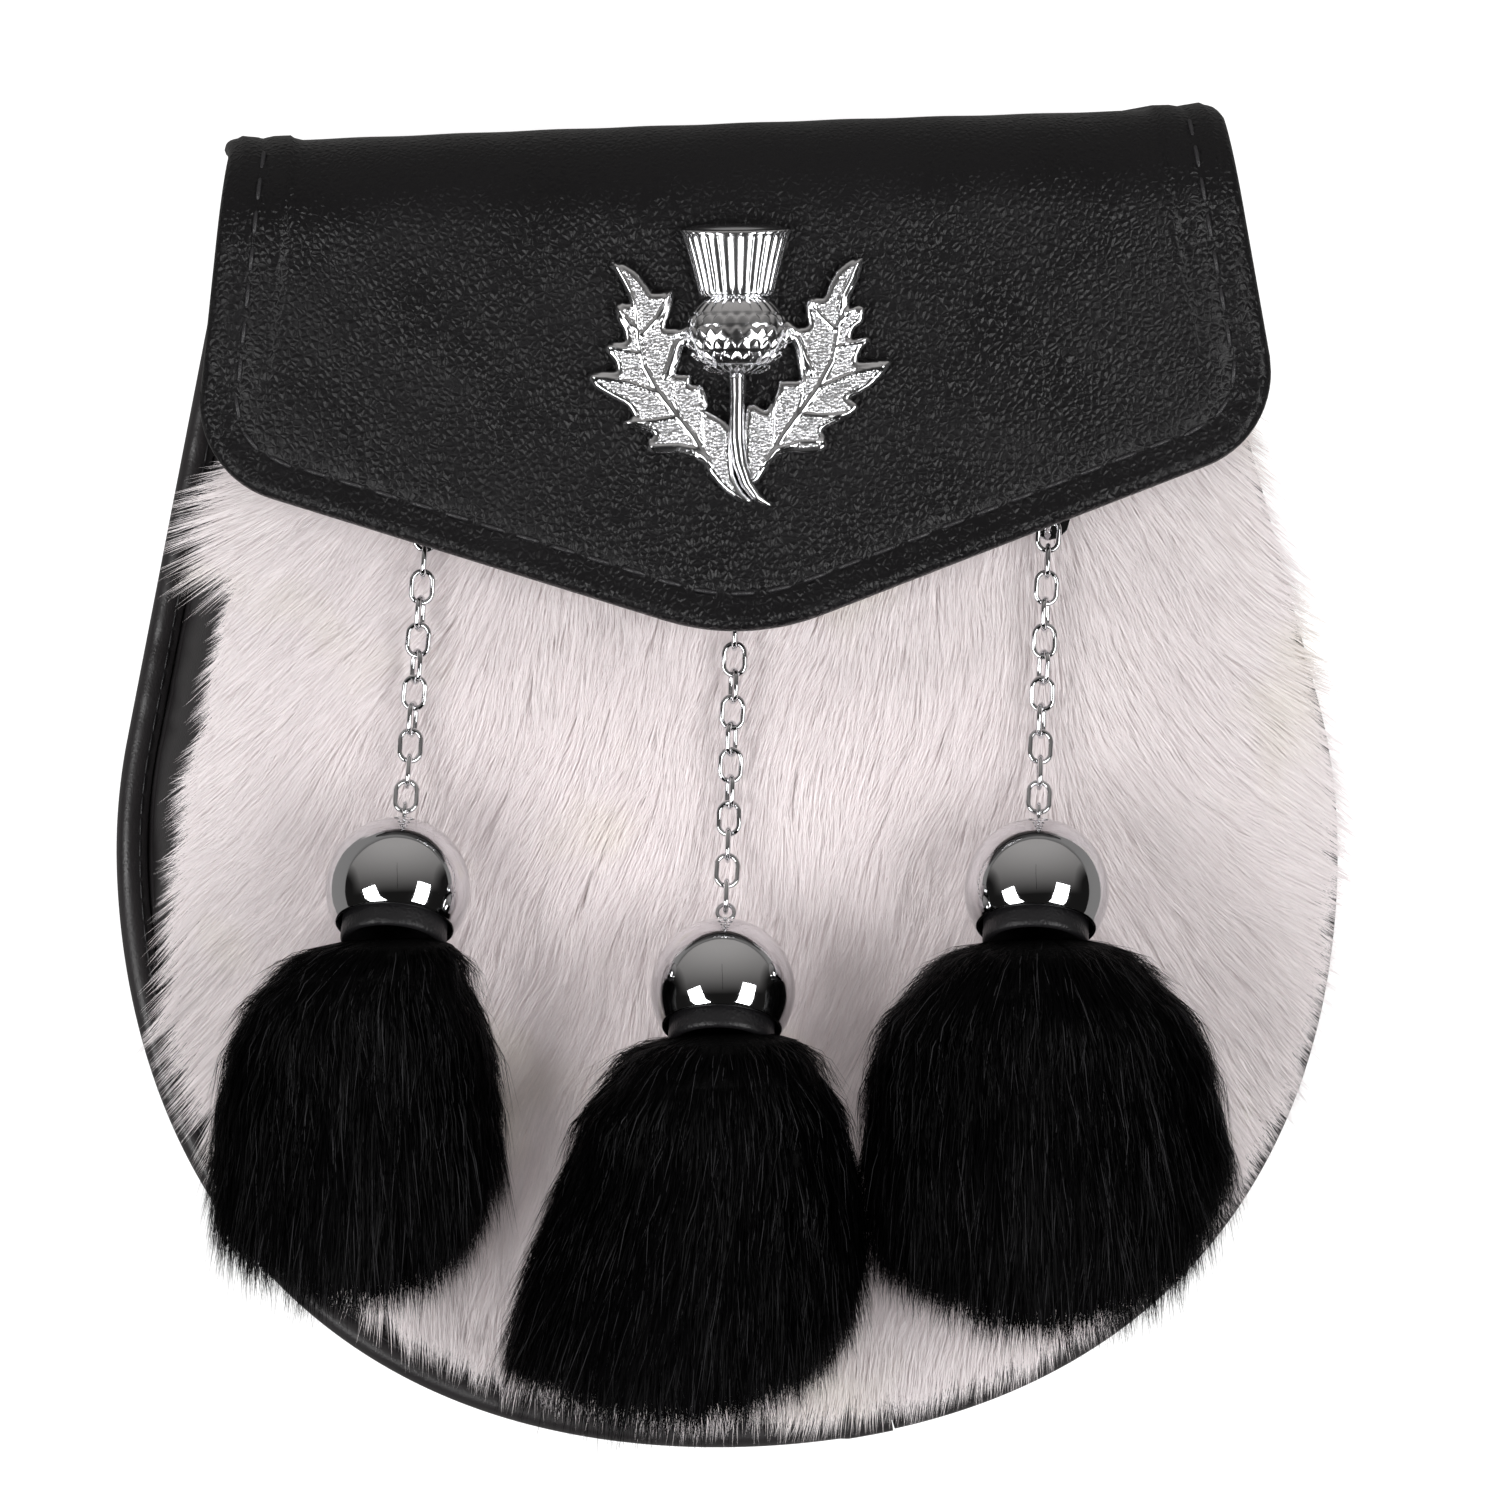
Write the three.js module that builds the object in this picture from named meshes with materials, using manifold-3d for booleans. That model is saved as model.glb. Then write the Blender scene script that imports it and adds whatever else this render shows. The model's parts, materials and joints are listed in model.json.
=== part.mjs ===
// A semi-dress sporran pouch lying on its back: a leather body with a fur front, a flap with a thistle
// badge, and three fur tassels that hang from chains. All lengths are in millimetres.
// The body's own frame has its origin in the middle of the round, on the rear face of the back panel:
// X to the right, Y towards the fold of the flap and Z out of the front.
import * as THREE from 'three';
import { mergeVertices } from 'three/addons/utils/BufferGeometryUtils.js';
import loadManifold from 'manifold-3d';

const wasm = await loadManifold();
wasm.setup();

// Outline and depth of the body
const roundRadius = 97.5;
const sideFullness = 1.5;
const footFullness = -0.7;
const cornerFullness = 3.2;
const sideLean = 12;
const flapTop = 116;
const pouchDepth = 30;
const frontShift = 4;
const frontCrown = 4;

// Leather, and the air kept between two pieces that touch
const backThickness = 2.2;
const gussetThickness = 1.6;
const bindingThickness = 1.3;
const flapThickness = 2.2;
const hideThickness = 2;
const cuffThickness = 1.3;
const loopThickness = 2;
const gap = 0.3;

// Binding of the rim: how far it reaches in, where its two lengths meet, and the lap at that place
const bindingReach = 5;
const bindingRoll = 1.4;
const seamTurn = 14;
const lapRise = 1;
const lapLength = 9;

// Gusset: the place of its wall behind the binding, and the wall's soft bulge
const wallBehindBinding = 1.2;
const gussetBulge = 2.4;

// Fur front: distance of its rim from the outline, and depth of the fur, open and under the flap
const hideInset = 11;
const hideTopDrop = 16;
const openFur = 2.8;
const pressedFur = 1.5;
const pressRun = 10;
const rimLockLength = 17;
const rimLockWidth = 9;
const rimLockPitch = 14;
const fieldLockLength = 21;
const fieldLockWidth = 10;
const lockThickness = 1.5;

// Flap: widths and angles of its outline, its folds, its lie over the fur and its turned hems
const flapTopWidth = 158;
const flapFlare = 8;
const flapPointAngle = 19.25;
const flapPointHeight = 32.6;
const flapCornerRadius = 16;
const flapPointRadius = 38;
const flapRearWidth = 140;
const flapRearNarrow = 4;
const flapSeam = 16;
const rearBend = 9;
const frontBend = 15;
const flapClear = 6.3;
const flapDroop = 5;
const hemWidth = 11;
const hemRise = 0.6;

// Stud that holds the flap shut
const studHeight = 62;
const studRadius = 6;

// Badge: overall size, its place on the flap, the depth of its relief, and what is cut off its back
const badgeHalfWidth = 24.3;
const badgeHeight = 46;
const badgeX = 0.5;
const badgeY = 81.5;
const badgeTurn = -1.5;
const leafThickness = 1.6;
const ribWidth = 1.3;
const ribHeight = 0.7;
const globeRadius = 8.2;
const globeSquash = 0.89;
const globeDepth = 5.6;
const scaleRelief = 0.45;
const globeColumns = 18;
const globeRows = 9;
const crownFlutes = 12;
const crownLength = 11;
const crownTopRadius = 8.65;
const crownFootRadius = 5.3;
const fluteDepth = 0.5;
const stemWidth = 2.6;
const stemCurl = 5.2;
const badgeCut = 0.5;

// Chain links, the rings at both ends of each chain and the plate that carries its upper ring
const linkLength = 5.9;
const linkWidth = 4.1;
const wire = 0.75;
const linkPlay = 0.2;
const linkSides = 10;
const wireSides = 5;
const linkWobble = 22;
const stapleRing = 1.9;
const staplePlate = 3.4;
const plateThickness = 0.8;
const eyeRing = 1.35;
const eyeWire = 0.7;
const chainOnFur = 2.6;

// Domes, cuffs and the slope of their axes
const domeRadius = 11.4;
const domeWall = 0.8;
const domeMouth = 6.3;
const domeHole = 1;
const domeSlope = 25;
const cuffRadius = 8.3;
const cuffShown = 3.3;
const cuffHidden = 4;
const domeSides = 12;

// Tassels: their thickness where they lie on the fur, as a share of their width, and their locks
const tasselFlatness = 0.66;
const tasselNeck = 6.3;
const tasselSides = 12;
const tasselLocks = 12;
const tasselLockLength = 19;
const tasselLockWidth = 9;

// Belt loops on the back
const loopWidth = 22;
const loopSpacing = 92;
const loopClear = 6.5;
const loopBridge = 22;
const loopFoot = 9;
const loopSlope = 3;

// The three pendants. dome: middle of the dome. flap: where the chain comes out from under the flap.
// end: lower end of the tassel. wide: of its dense fur. All are shares of the round's radius.
// links: how many the chain has.
const pendants = [
  { side: 'left', links: 11, dome: [-0.531, -0.039], flap: [-0.475, 0.484], end: [-0.585, -0.708], wide: 0.45 },
  { side: 'middle', links: 12, dome: [-0.013, -0.22], flap: [0.026, 0.345], end: [-0.068, -0.872], wide: 0.54 },
  { side: 'right', links: 11, dome: [0.498, -0.077], flap: [0.538, 0.466], end: [0.52, -0.718], wide: 0.55 },
];

// Sections of a tassel: along, from the cuff to the lower end; wide, its half-width; both are shares.
const tasselSections = [
  { along: 0.04, wide: 0.33 },
  { along: 0.13, wide: 0.66 },
  { along: 0.27, wide: 0.88 },
  { along: 0.48, wide: 1.0 },
  { along: 0.7, wide: 0.93 },
  { along: 0.88, wide: 0.66 },
];

// Edge of a leaf from its tip down the inner side and back up the outer side. across is a share of the
// badge's half-width, up a share of its height, from the middle of the globe.
const leafEdge = [
  { across: 0.82, up: 0.256 },
  { across: 0.67, up: 0.226 },
  { across: 0.54, up: 0.135 },
  { across: 0.42, up: 0.154 },
  { across: 0.46, up: 0.077 },
  { across: 0.49, up: 0.03 },
  { across: 0.31, up: 0.028 },
  { across: 0.35, up: -0.059 },
  { across: 0.45, up: -0.122 },
  { across: 0.31, up: -0.137 },
  { across: 0.23, up: -0.185 },
  { across: 0.2, up: -0.253 },
  { across: 0.02, up: -0.31 },
  { across: 0.03, up: -0.5 },
  { across: 0.21, up: -0.446 },
  { across: 0.41, up: -0.393 },
  { across: 0.6, up: -0.388 },
  { across: 0.56, up: -0.345 },
  { across: 0.76, up: -0.301 },
  { across: 0.72, up: -0.24 },
  { across: 0.98, up: -0.137 },
  { across: 0.8, up: -0.108 },
  { across: 0.86, up: -0.03 },
  { across: 0.74, up: -0.011 },
  { across: 0.79, up: 0.106 },
  { across: 0.7, up: 0.125 },
  { across: 0.72, up: 0.164 },
];

// Ribs of a leaf, each from its root to its end, in the same shares as the edge.
const leafRibs = [
  { rootAcross: 0.1, rootUp: -0.42, endAcross: 0.55, endUp: -0.08 },
  { rootAcross: 0.55, rootUp: -0.08, endAcross: 0.74, endUp: 0.22 },
  { rootAcross: 0.5, rootUp: -0.12, endAcross: 0.9, endUp: -0.15 },
  { rootAcross: 0.3, rootUp: -0.29, endAcross: 0.66, endUp: -0.28 },
  { rootAcross: 0.58, rootUp: -0.03, endAcross: 0.8, endUp: 0.03 },
  { rootAcross: 0.45, rootUp: -0.17, endAcross: 0.38, endUp: -0.02 },
  { rootAcross: 0.28, rootUp: -0.31, endAcross: 0.33, endUp: -0.17 },
];

const leather = { color: 0x101012, roughness: 0.5, metalness: 0 };
const smoothLeather = { color: 0x0c0c0e, roughness: 0.38, metalness: 0 };
const whiteFur = { color: 0xe9e2df, roughness: 0.9, metalness: 0 };
const blackFur = { color: 0x0a0a0b, roughness: 0.85, metalness: 0 };
const chrome = { color: 0xd0d2d4, roughness: 0.08, metalness: 1 };

const rad = THREE.MathUtils.degToRad;
const lerp = THREE.MathUtils.lerp;
const vec = (x, y, z) => new THREE.Vector3(x, y, z);

// Heights that follow from the thicknesses
const footBottom = backThickness + gap;
const footTop = footBottom + gussetThickness;
const rimInset = bindingThickness + gap;
const bindingBottom = -gap - bindingThickness;
const bindingTop = footTop + gap + bindingThickness;
const backTop = flapTop - flapThickness - rearBend;
const hideTop = flapTop - hideTopDrop;
const hideRadius = roundRadius - hideInset;
const flapUnder = pouchDepth + frontCrown + pressedFur + flapClear;

// Geometry helpers

function signedVolume(positions, triangles) {
  let volume = 0;
  for (let i = 0; i < triangles.length; i += 3) {
    const corner = (k) => vec(...positions.slice(3 * triangles[i + k], 3 * triangles[i + k] + 3));
    const [a, b, c] = [corner(0), corner(1), corner(2)];
    volume += a.dot(b.cross(c)) / 6;
  }
  return volume;
}

// A geometry from plain lists, with its faces turned outwards.
function closedGeometry(positions, triangles) {
  const points = Array.from(positions);
  const faces = Array.from(triangles);
  if (signedVolume(points, faces) < 0) {
    faces.reverse();
  }
  const geometry = new THREE.BufferGeometry();
  geometry.setAttribute('position', new THREE.Float32BufferAttribute(points, 3));
  geometry.setIndex(faces);
  return geometry;
}

// Corner indices that fill a flat ring, turned as the ring is or the other way. The two edges of a
// strip run side by side, so its ring is filled rung by rung.
function capTriangles(ring, start, asRing, isStrip) {
  if (isStrip) {
    const last = ring.length - 1;
    const rungs = Array.from({ length: ring.length / 2 - 1 }, (_, i) => i);
    const filled = rungs.flatMap((i) => [i, i + 1, last - i - 1, i, last - i - 1, last - i]);
    return (asRing ? filled : filled.reverse()).map((index) => start + index);
  }
  const normal = vec(0, 0, 0);
  ring.forEach((p, i) => normal.add(p.clone().cross(ring[(i + 1) % ring.length])));
  normal.normalize();
  const across = Math.abs(normal.x) < 0.9 ? vec(1, 0, 0).cross(normal) : vec(0, 1, 0).cross(normal);
  across.normalize();
  const upward = normal.clone().cross(across);
  const flat = ring.map((p) => new THREE.Vector2(p.dot(across), p.dot(upward)));
  const triangles = [];
  THREE.ShapeUtils.triangulateShape(flat, []).forEach(([a, b, c]) => {
    const turn = THREE.ShapeUtils.area([flat[a], flat[b], flat[c]]);
    const ordered = (turn > 0) === asRing ? [a, b, c] : [c, b, a];
    triangles.push(...ordered.map((index) => start + index));
  });
  return triangles;
}

// A closed body through rings of equally many points. A ring of one point is a tip, and a flat ring
// at either end is filled.
function loft(rings, isStrip = false) {
  const positions = [];
  const triangles = [];
  const starts = rings.map((ring) => {
    const start = positions.length / 3;
    ring.forEach((p) => positions.push(p.x, p.y, p.z));
    return start;
  });
  for (let r = 0; r + 1 < rings.length; r++) {
    const lower = rings[r].length;
    const upper = rings[r + 1].length;
    const count = Math.max(lower, upper);
    for (let i = 0; i < count; i++) {
      const j = (i + 1) % count;
      if (lower > 1) {
        triangles.push(starts[r] + i, starts[r] + j, starts[r + 1] + (upper > 1 ? j : 0));
      }
      if (upper > 1) {
        triangles.push(starts[r] + (lower > 1 ? i : 0), starts[r + 1] + j, starts[r + 1] + i);
      }
    }
  }
  const last = rings.length - 1;
  if (rings[0].length > 1) {
    triangles.push(...capTriangles(rings[0], starts[0], false, isStrip));
  }
  if (rings[last].length > 1) {
    triangles.push(...capTriangles(rings[last], starts[last], true, isStrip));
  }
  return closedGeometry(positions, triangles);
}

// A sheet of leather from rows of places: point, normal and half its thickness on each side.
function sheet(rows) {
  const rings = rows.map((row) => {
    const upper = row.map(({ point, normal, above }) => point.clone().addScaledVector(normal, above));
    const lower = row.map(({ point, normal, below }) => point.clone().addScaledVector(normal, -below));
    return [...upper, ...lower.reverse()];
  });
  return loft(rings, true);
}

function toSolid(geometry) {
  const plain = new THREE.BufferGeometry();
  plain.setAttribute('position', geometry.attributes.position);
  plain.setIndex(geometry.index);
  const merged = mergeVertices(plain);
  const corners = merged.index.array;
  const kept = [];
  for (let i = 0; i < corners.length; i += 3) {
    const [a, b, c] = [corners[i], corners[i + 1], corners[i + 2]];
    if (a !== b && b !== c && c !== a) {
      kept.push(a, b, c);
    }
  }
  const triVerts = Uint32Array.from(kept);
  const vertProperties = merged.attributes.position.array;
  return new wasm.Manifold(new wasm.Mesh({ numProp: 3, vertProperties, triVerts }));
}

function toGeometry(solid) {
  const mesh = solid.getMesh();
  return closedGeometry(mesh.vertProperties, mesh.triVerts);
}

function join(geometries) {
  return geometries.map(toSolid).reduce((whole, next) => whole.add(next));
}

function outward(geometry) {
  const flat = geometry.index ? geometry : mergeVertices(geometry);
  return closedGeometry(flat.attributes.position.array, flat.index.array);
}

function mesh(name, geometry, finish) {
  const made = new THREE.Mesh(geometry, new THREE.MeshStandardMaterial(finish));
  made.name = name;
  return made;
}

// Outline of the body

// How far the outline stands outside its round: a little at the sides and most at the lower corners.
function fullness(turn) {
  const corner = Math.sin(turn) < 0 ? cornerFullness * Math.sin(2 * turn) ** 2 : 0;
  return lerp(sideFullness, footFullness, Math.sin(turn) ** 2) + corner;
}

// A place on the outline, moved in by an inset. along runs from 0 at the left end of the mouth to 1 at
// the start of the round, to 2 at its other end and to 3 at the right end of the mouth.
function outlineAt(along, inset, top) {
  const lean = rad(sideLean);
  if (along > 1 && along < 2) {
    const turn = Math.PI - lean + (along - 1) * (Math.PI + 2 * lean);
    const radius = roundRadius + fullness(turn) - inset;
    return { x: radius * Math.cos(turn), y: radius * Math.sin(turn) };
  }
  const share = along <= 1 ? along : 3 - along;
  const full = fullness(lean);
  const y = lerp(top, (roundRadius + full - inset) * Math.sin(lean), share);
  const x = (roundRadius + full * share - inset - y * Math.sin(lean)) / Math.cos(lean);
  return { x: along <= 1 ? -x : x, y };
}

// A place on the front, from its shares of the round's radius.
function placeOf([across, up]) {
  return { x: across * roundRadius, y: up * roundRadius };
}

// Stations along the outline between two places: two to a side, and evenly round the round.
function stations(from, to, roundSteps) {
  const places = [from, to, 0.5, 1, 2, 2.5];
  for (let i = 1; i < roundSteps; i++) {
    places.push(1 + i / roundSteps);
  }
  const apart = 0.3 / roundSteps;
  const inside = places.filter((u) => u === from || u === to || (u > from + apart && u < to - apart));
  return inside.sort((a, b) => a - b);
}

// How far the soft body carries a point at this height, above its bound rim, to the right.
function shiftAt(z) {
  return frontShift * THREE.MathUtils.clamp((z - bindingTop) / (pouchDepth - bindingTop), 0, 1);
}

// A strip along the outline, with its section as insets and heights.
function rimStrip(places, section) {
  return loft(places.map((along) => section(along).map(({ inset, z }) => {
    const { x, y } = outlineAt(along, inset, backTop);
    return vec(x + shiftAt(z), y, z);
  })));
}

// Body

function backPanel() {
  const edge = stations(0, 3, 24).map((along) => outlineAt(along, rimInset, backTop));
  const outline = new THREE.Shape(edge.map(({ x, y }) => new THREE.Vector2(x, y)));
  return outward(new THREE.ExtrudeGeometry(outline, { depth: backThickness, bevelEnabled: false }));
}

// The folded strip round the rim. rise lifts its outer face where one length laps over the other.
function binding(from, to, rise) {
  const inner = bindingThickness;
  return rimStrip(stations(from, to, 24), (along) => {
    const outer = -rise(along);
    return [
      { inset: bindingReach, z: bindingBottom },
      { inset: outer + bindingRoll, z: bindingBottom },
      { inset: outer, z: bindingBottom + bindingRoll },
      { inset: outer, z: bindingTop - bindingRoll },
      { inset: outer + bindingRoll, z: bindingTop },
      { inset: bindingReach, z: bindingTop },
      { inset: bindingReach, z: bindingTop - inner },
      { inset: inner, z: bindingTop - inner },
      { inset: inner, z: bindingBottom + inner },
      { inset: bindingReach, z: bindingBottom + inner },
    ];
  });
}

const seamAlong = 1 + (90 + sideLean + seamTurn) / (180 + 2 * sideLean);
const alongPerLength = 180 / Math.PI / roundRadius / (180 + 2 * sideLean);

function bindingLeft() {
  const lapStart = seamAlong - lapLength * alongPerLength;
  return binding(0, seamAlong, (along) => (along > lapStart ? lapRise : 0));
}

function bindingRight() {
  return binding(seamAlong + gap * alongPerLength, 3, () => 0);
}

function gusset() {
  const wallFoot = bindingReach + wallBehindBinding;
  const footInset = rimInset + gap / 2;
  const wallTop = pouchDepth - hideThickness - gap;
  const wallHead = hideInset + gussetThickness / 2;
  const bulge = (share) => lerp(wallFoot, wallHead, share) - gussetBulge * Math.sin(Math.PI * share);
  const heights = [0.45, 1];
  const wallZ = (share) => lerp(footTop, wallTop, share);
  const outer = heights.map((share) => ({ inset: bulge(share), z: wallZ(share) }));
  const inner = heights.map((share) => ({ inset: bulge(share) + gussetThickness, z: wallZ(share) }));
  const section = [
    { inset: wallFoot + gussetThickness, z: footBottom },
    { inset: footInset, z: footBottom },
    { inset: footInset, z: footTop },
    { inset: wallFoot, z: footTop },
    ...outer,
    ...inner.reverse(),
  ];
  return rimStrip(stations(0, 3, 22), () => section);
}

// Fur front

// Face of the hide's skin, crowned in the middle and flat at its rim.
function skinFace(x, y) {
  const high = y > 0 ? 0.6 * y : y;
  const share = ((x - frontShift) ** 2 + high ** 2) / hideRadius ** 2;
  return pouchDepth + frontCrown * Math.max(0, 1 - share);
}

// Depth of the fur: pressed flat under the flap, open below it.
function furDepth(x, y) {
  const edge = flapPointHeight + Math.abs(x - frontShift) * Math.tan(rad(flapPointAngle));
  return lerp(openFur, pressedFur, THREE.MathUtils.smoothstep(y, edge - pressRun / 2, edge + pressRun / 2));
}

function furFace(x, y) {
  return skinFace(x, y) + furDepth(x, y);
}

// One lock of fur: a flat blade from its root to a tip.
function lock(root, tip, width, thickness) {
  const run = tip.clone().sub(root);
  const side = vec(-run.y, run.x, 0).normalize();
  const ring = (share, wide, thick) => {
    const middle = root.clone().addScaledVector(run, share);
    return [
      middle.clone().addScaledVector(side, wide),
      middle.clone().add(vec(0, 0, thick)),
      middle.clone().addScaledVector(side, -wide),
      middle.clone().add(vec(0, 0, -thick)),
    ];
  };
  return loft([ring(0, width / 3, thickness / 2), ring(0.45, width / 2, thickness), [tip]]);
}

function hideBase() {
  const rim = stations(0, 3, 22).map((along) => outlineAt(along, hideInset, hideTop));
  const ends = [rim[rim.length - 1], rim[0]];
  const topEdge = [0.25, 0.5, 0.75].map((share) => ({ x: lerp(ends[0].x, ends[1].x, share), y: hideTop }));
  const outline = [...rim, ...topEdge];
  const ring = (share, height) => outline.map(({ x, y }) => {
    const px = x * share + frontShift;
    return vec(px, y * share, height(px, y * share));
  });
  const skin = (x, y) => skinFace(x, y) - hideThickness;
  return loft([
    [vec(frontShift, 0, skin(frontShift, 0))],
    ring(0.6, skin),
    ring(1, skin),
    ring(1, (x, y) => skinFace(x, y) + furDepth(x, y) / 2),
    ring(0.96, furFace),
    ring(0.75, furFace),
    ring(0.4, furFace),
    [vec(frontShift, 0, furFace(frontShift, 0))],
  ]);
}

// Locks round the rim, combed outwards and down, past the skin's edge.
function rimLocks() {
  const start = 0.45;
  const roundLength = rad(180 + 2 * sideLean) * hideRadius;
  const count = Math.round((roundLength + hideRadius) / rimLockPitch);
  return Array.from({ length: count + 1 }, (_, i) => {
    const along = lerp(start, 3 - start, i / count);
    const root = outlineAt(along, hideInset + rimLockLength * 0.62, hideTop);
    const end = outlineAt(along, hideInset - rimLockLength * (0.3 + 0.09 * Math.sin(2.4 * i)), hideTop);
    const drop = rimLockLength * (0.15 + 0.06 * Math.sin(1.7 * i));
    const rootX = root.x + frontShift;
    const from = vec(rootX, root.y, furFace(rootX, root.y) - lockThickness);
    const to = vec(end.x + frontShift, end.y - drop, pouchDepth - lockThickness);
    return lock(from, to, rimLockWidth, lockThickness);
  });
}

// Locks on the open fur between the chains, combed down.
function fieldLocks() {
  const rows = [0.29, 0.12, -0.04];
  const columns = [-0.74, -0.23, 0.27, 0.74];
  return rows.flatMap((up, row) => columns.map((across, column) => {
    const { x, y } = placeOf([across, up]);
    const rootX = x + frontShift + 0.4 * fieldLockWidth * Math.sin(row + 2 * column);
    const tipX = rootX + 0.1 * fieldLockLength * Math.sin(3 * row + column);
    const tipY = y - fieldLockLength;
    const from = vec(rootX, y, furFace(rootX, y) - lockThickness / 2);
    return lock(from, vec(tipX, tipY, furFace(tipX, tipY)), fieldLockWidth, lockThickness);
  }));
}

function furFront() {
  return toGeometry(join([hideBase(), ...rimLocks(), ...fieldLocks()]));
}

const hide = mesh('fur_front', furFront(), whiteFur);

// Highest fur below a piece that lies on it, within its reach round a place.
function furUnder(x, y, reach) {
  const heights = [skinFace(x, y)];
  for (let i = 0; i <= 8; i++) {
    const turn = (i * Math.PI) / 4;
    const away = i < 8 ? reach : 0;
    const from = vec(x + away * Math.cos(turn), y + away * Math.sin(turn), 2 * pouchDepth);
    const hits = new THREE.Raycaster(from, vec(0, 0, -1)).intersectObject(hide);
    heights.push(...hits.map((hit) => hit.point.z));
  }
  return Math.max(...heights);
}

// Flap

const flare = rad(flapFlare);
const pointAngle = rad(flapPointAngle);

function flapHalfWidth(y) {
  return flapTopWidth / 2 + (flapTop - y) * Math.tan(flare);
}

// Middle of the round corner, where the side and the V edge, moved in by its radius, cross.
const corner = (() => {
  const sideX = flapTopWidth / 2 + flapTop * Math.tan(flare) - flapCornerRadius / Math.cos(flare);
  const pointY = flapPointHeight + flapCornerRadius / Math.cos(pointAngle);
  const y = (pointY + sideX * Math.tan(pointAngle)) / (1 + Math.tan(flare) * Math.tan(pointAngle));
  return { x: sideX - y * Math.tan(flare), y };
})();
const pointMiddle = flapPointHeight + flapPointRadius / Math.cos(pointAngle);
const sideEnd = corner.y + flapCornerRadius * Math.sin(flare);

// Whether a place lies within the flap's outline, above its V edge and its round corner.
function insideFlap(x, y) {
  const away = Math.abs(x);
  if (y < flapPointHeight + away * Math.tan(pointAngle)) {
    return false;
  }
  const turn = Math.atan2(y - corner.y, away - corner.x);
  if (turn > pointAngle - Math.PI / 2 && turn < flare) {
    return Math.hypot(away - corner.x, y - corner.y) <= flapCornerRadius;
  }
  if (away < flapPointRadius * Math.sin(pointAngle) && y < pointMiddle) {
    return Math.hypot(away, y - pointMiddle) <= flapPointRadius;
  }
  return true;
}

// Lowest height of the column of the flap that keeps this share of its half-width.
function flapEdgeHeight(share) {
  if (Math.abs(share) === 1) {
    return sideEnd;
  }
  let [low, high] = [0, flapTop];
  for (let i = 0; i < 40; i++) {
    const middle = (low + high) / 2;
    if (insideFlap(flapHalfWidth(middle) * share, middle)) {
      high = middle;
    } else {
      low = middle;
    }
  }
  return high;
}

// The flap's run from its rear seam over the fold to its lower edge, for one column: places on the
// middle of the leather, with the normal that points out.
function flapColumn(share) {
  const half = flapThickness / 2;
  const rearZ = -gap - half;
  const frontZ = flapUnder + half - flapDroop * share ** 2;
  const outerY = flapTop - half;
  const places = [{ y: backTop - flapSeam, z: rearZ, ny: 0, nz: -1, wide: flapRearWidth / 2 }];
  const rearY = outerY - rearBend;
  [0, 30, 60, 90].forEach((turn) => {
    const a = rad(turn);
    const wide = lerp(flapRearWidth / 2, flapHalfWidth(flapTop) - flapRearNarrow, turn / 90);
    const y = rearY + rearBend * Math.sin(a);
    places.push({ y, z: rearZ + rearBend - rearBend * Math.cos(a), ny: Math.sin(a), nz: -Math.cos(a), wide });
  });
  const frontY = outerY - frontBend;
  [0, 22, 45, 68, 90].forEach((turn) => {
    const a = rad(turn);
    const y = frontY + frontBend * Math.cos(a);
    const z = frontZ - frontBend + frontBend * Math.sin(a);
    places.push({ y, z, ny: Math.cos(a), nz: Math.sin(a), wide: flapHalfWidth(y) });
  });
  const edgeY = flapEdgeHeight(share);
  [0.3, 0.6, 0.85, 1].forEach((down) => {
    const y = lerp(frontY, edgeY, down);
    places.push({ y, z: frontZ, ny: 0, nz: 1, wide: flapHalfWidth(y) });
  });
  return places.map(({ y, z, ny, nz, wide }) => {
    const hemmed = (1 - Math.abs(share)) * wide < hemWidth - 0.5;
    return {
      point: vec(wide * share + shiftAt(z), y, z),
      normal: vec(0, ny, nz),
      above: half + (hemmed ? hemRise : 0),
      below: half,
    };
  });
}

function flap() {
  const hemShare = 1 - hemWidth / flapHalfWidth(sideEnd);
  const inner = [0, 0.22, 0.44, 0.64, hemShare - 0.02, hemShare + 0.02, 0.96, 1];
  const shares = [...inner.slice(1).reverse().map((share) => -share), ...inner];
  return sheet(shares.map(flapColumn));
}

// A plain stud between the hide and the flap: foot, post and cap.
function flapStud() {
  const low = furUnder(frontShift, studHeight, studRadius) + gap;
  const high = flapUnder - gap;
  const profile = [
    [0, low],
    [studRadius, low],
    [studRadius, low + 1],
    [studRadius / 2, low + 1.4],
    [studRadius / 2, high - 1.4],
    [studRadius, high - 1],
    [studRadius, high],
    [0, high],
  ].map(([r, z]) => new THREE.Vector2(r, z));
  const turned = new THREE.LatheGeometry(profile, domeSides).rotateX(Math.PI / 2);
  return outward(turned.translate(frontShift, studHeight, 0));
}

// Badge

function badgePoint(across, up, z, side) {
  return vec(side * across * badgeHalfWidth, up * badgeHeight, z);
}

function leafPlate(side) {
  const edge = leafEdge.map(({ across, up }) => badgePoint(across, up, 0, side));
  const outline = new THREE.Shape(edge.map(({ x, y }) => new THREE.Vector2(x, y)));
  const depth = leafThickness + badgeCut;
  const plate = new THREE.ExtrudeGeometry(outline, { depth, bevelEnabled: false });
  return outward(plate.translate(0, 0, -badgeCut));
}

// A raised rib with a sharp back, tapering to its end.
function rib(from, to, width, height) {
  const side = vec(from.y - to.y, to.x - from.x, 0).normalize();
  const ring = (p, wide, high) => [
    p.clone().addScaledVector(side, wide / 2),
    p.clone().add(vec(0, 0, high)),
    p.clone().addScaledVector(side, -wide / 2),
  ];
  return loft([ring(from, width, height), ring(to, width / 2, height / 2)]);
}

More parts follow.
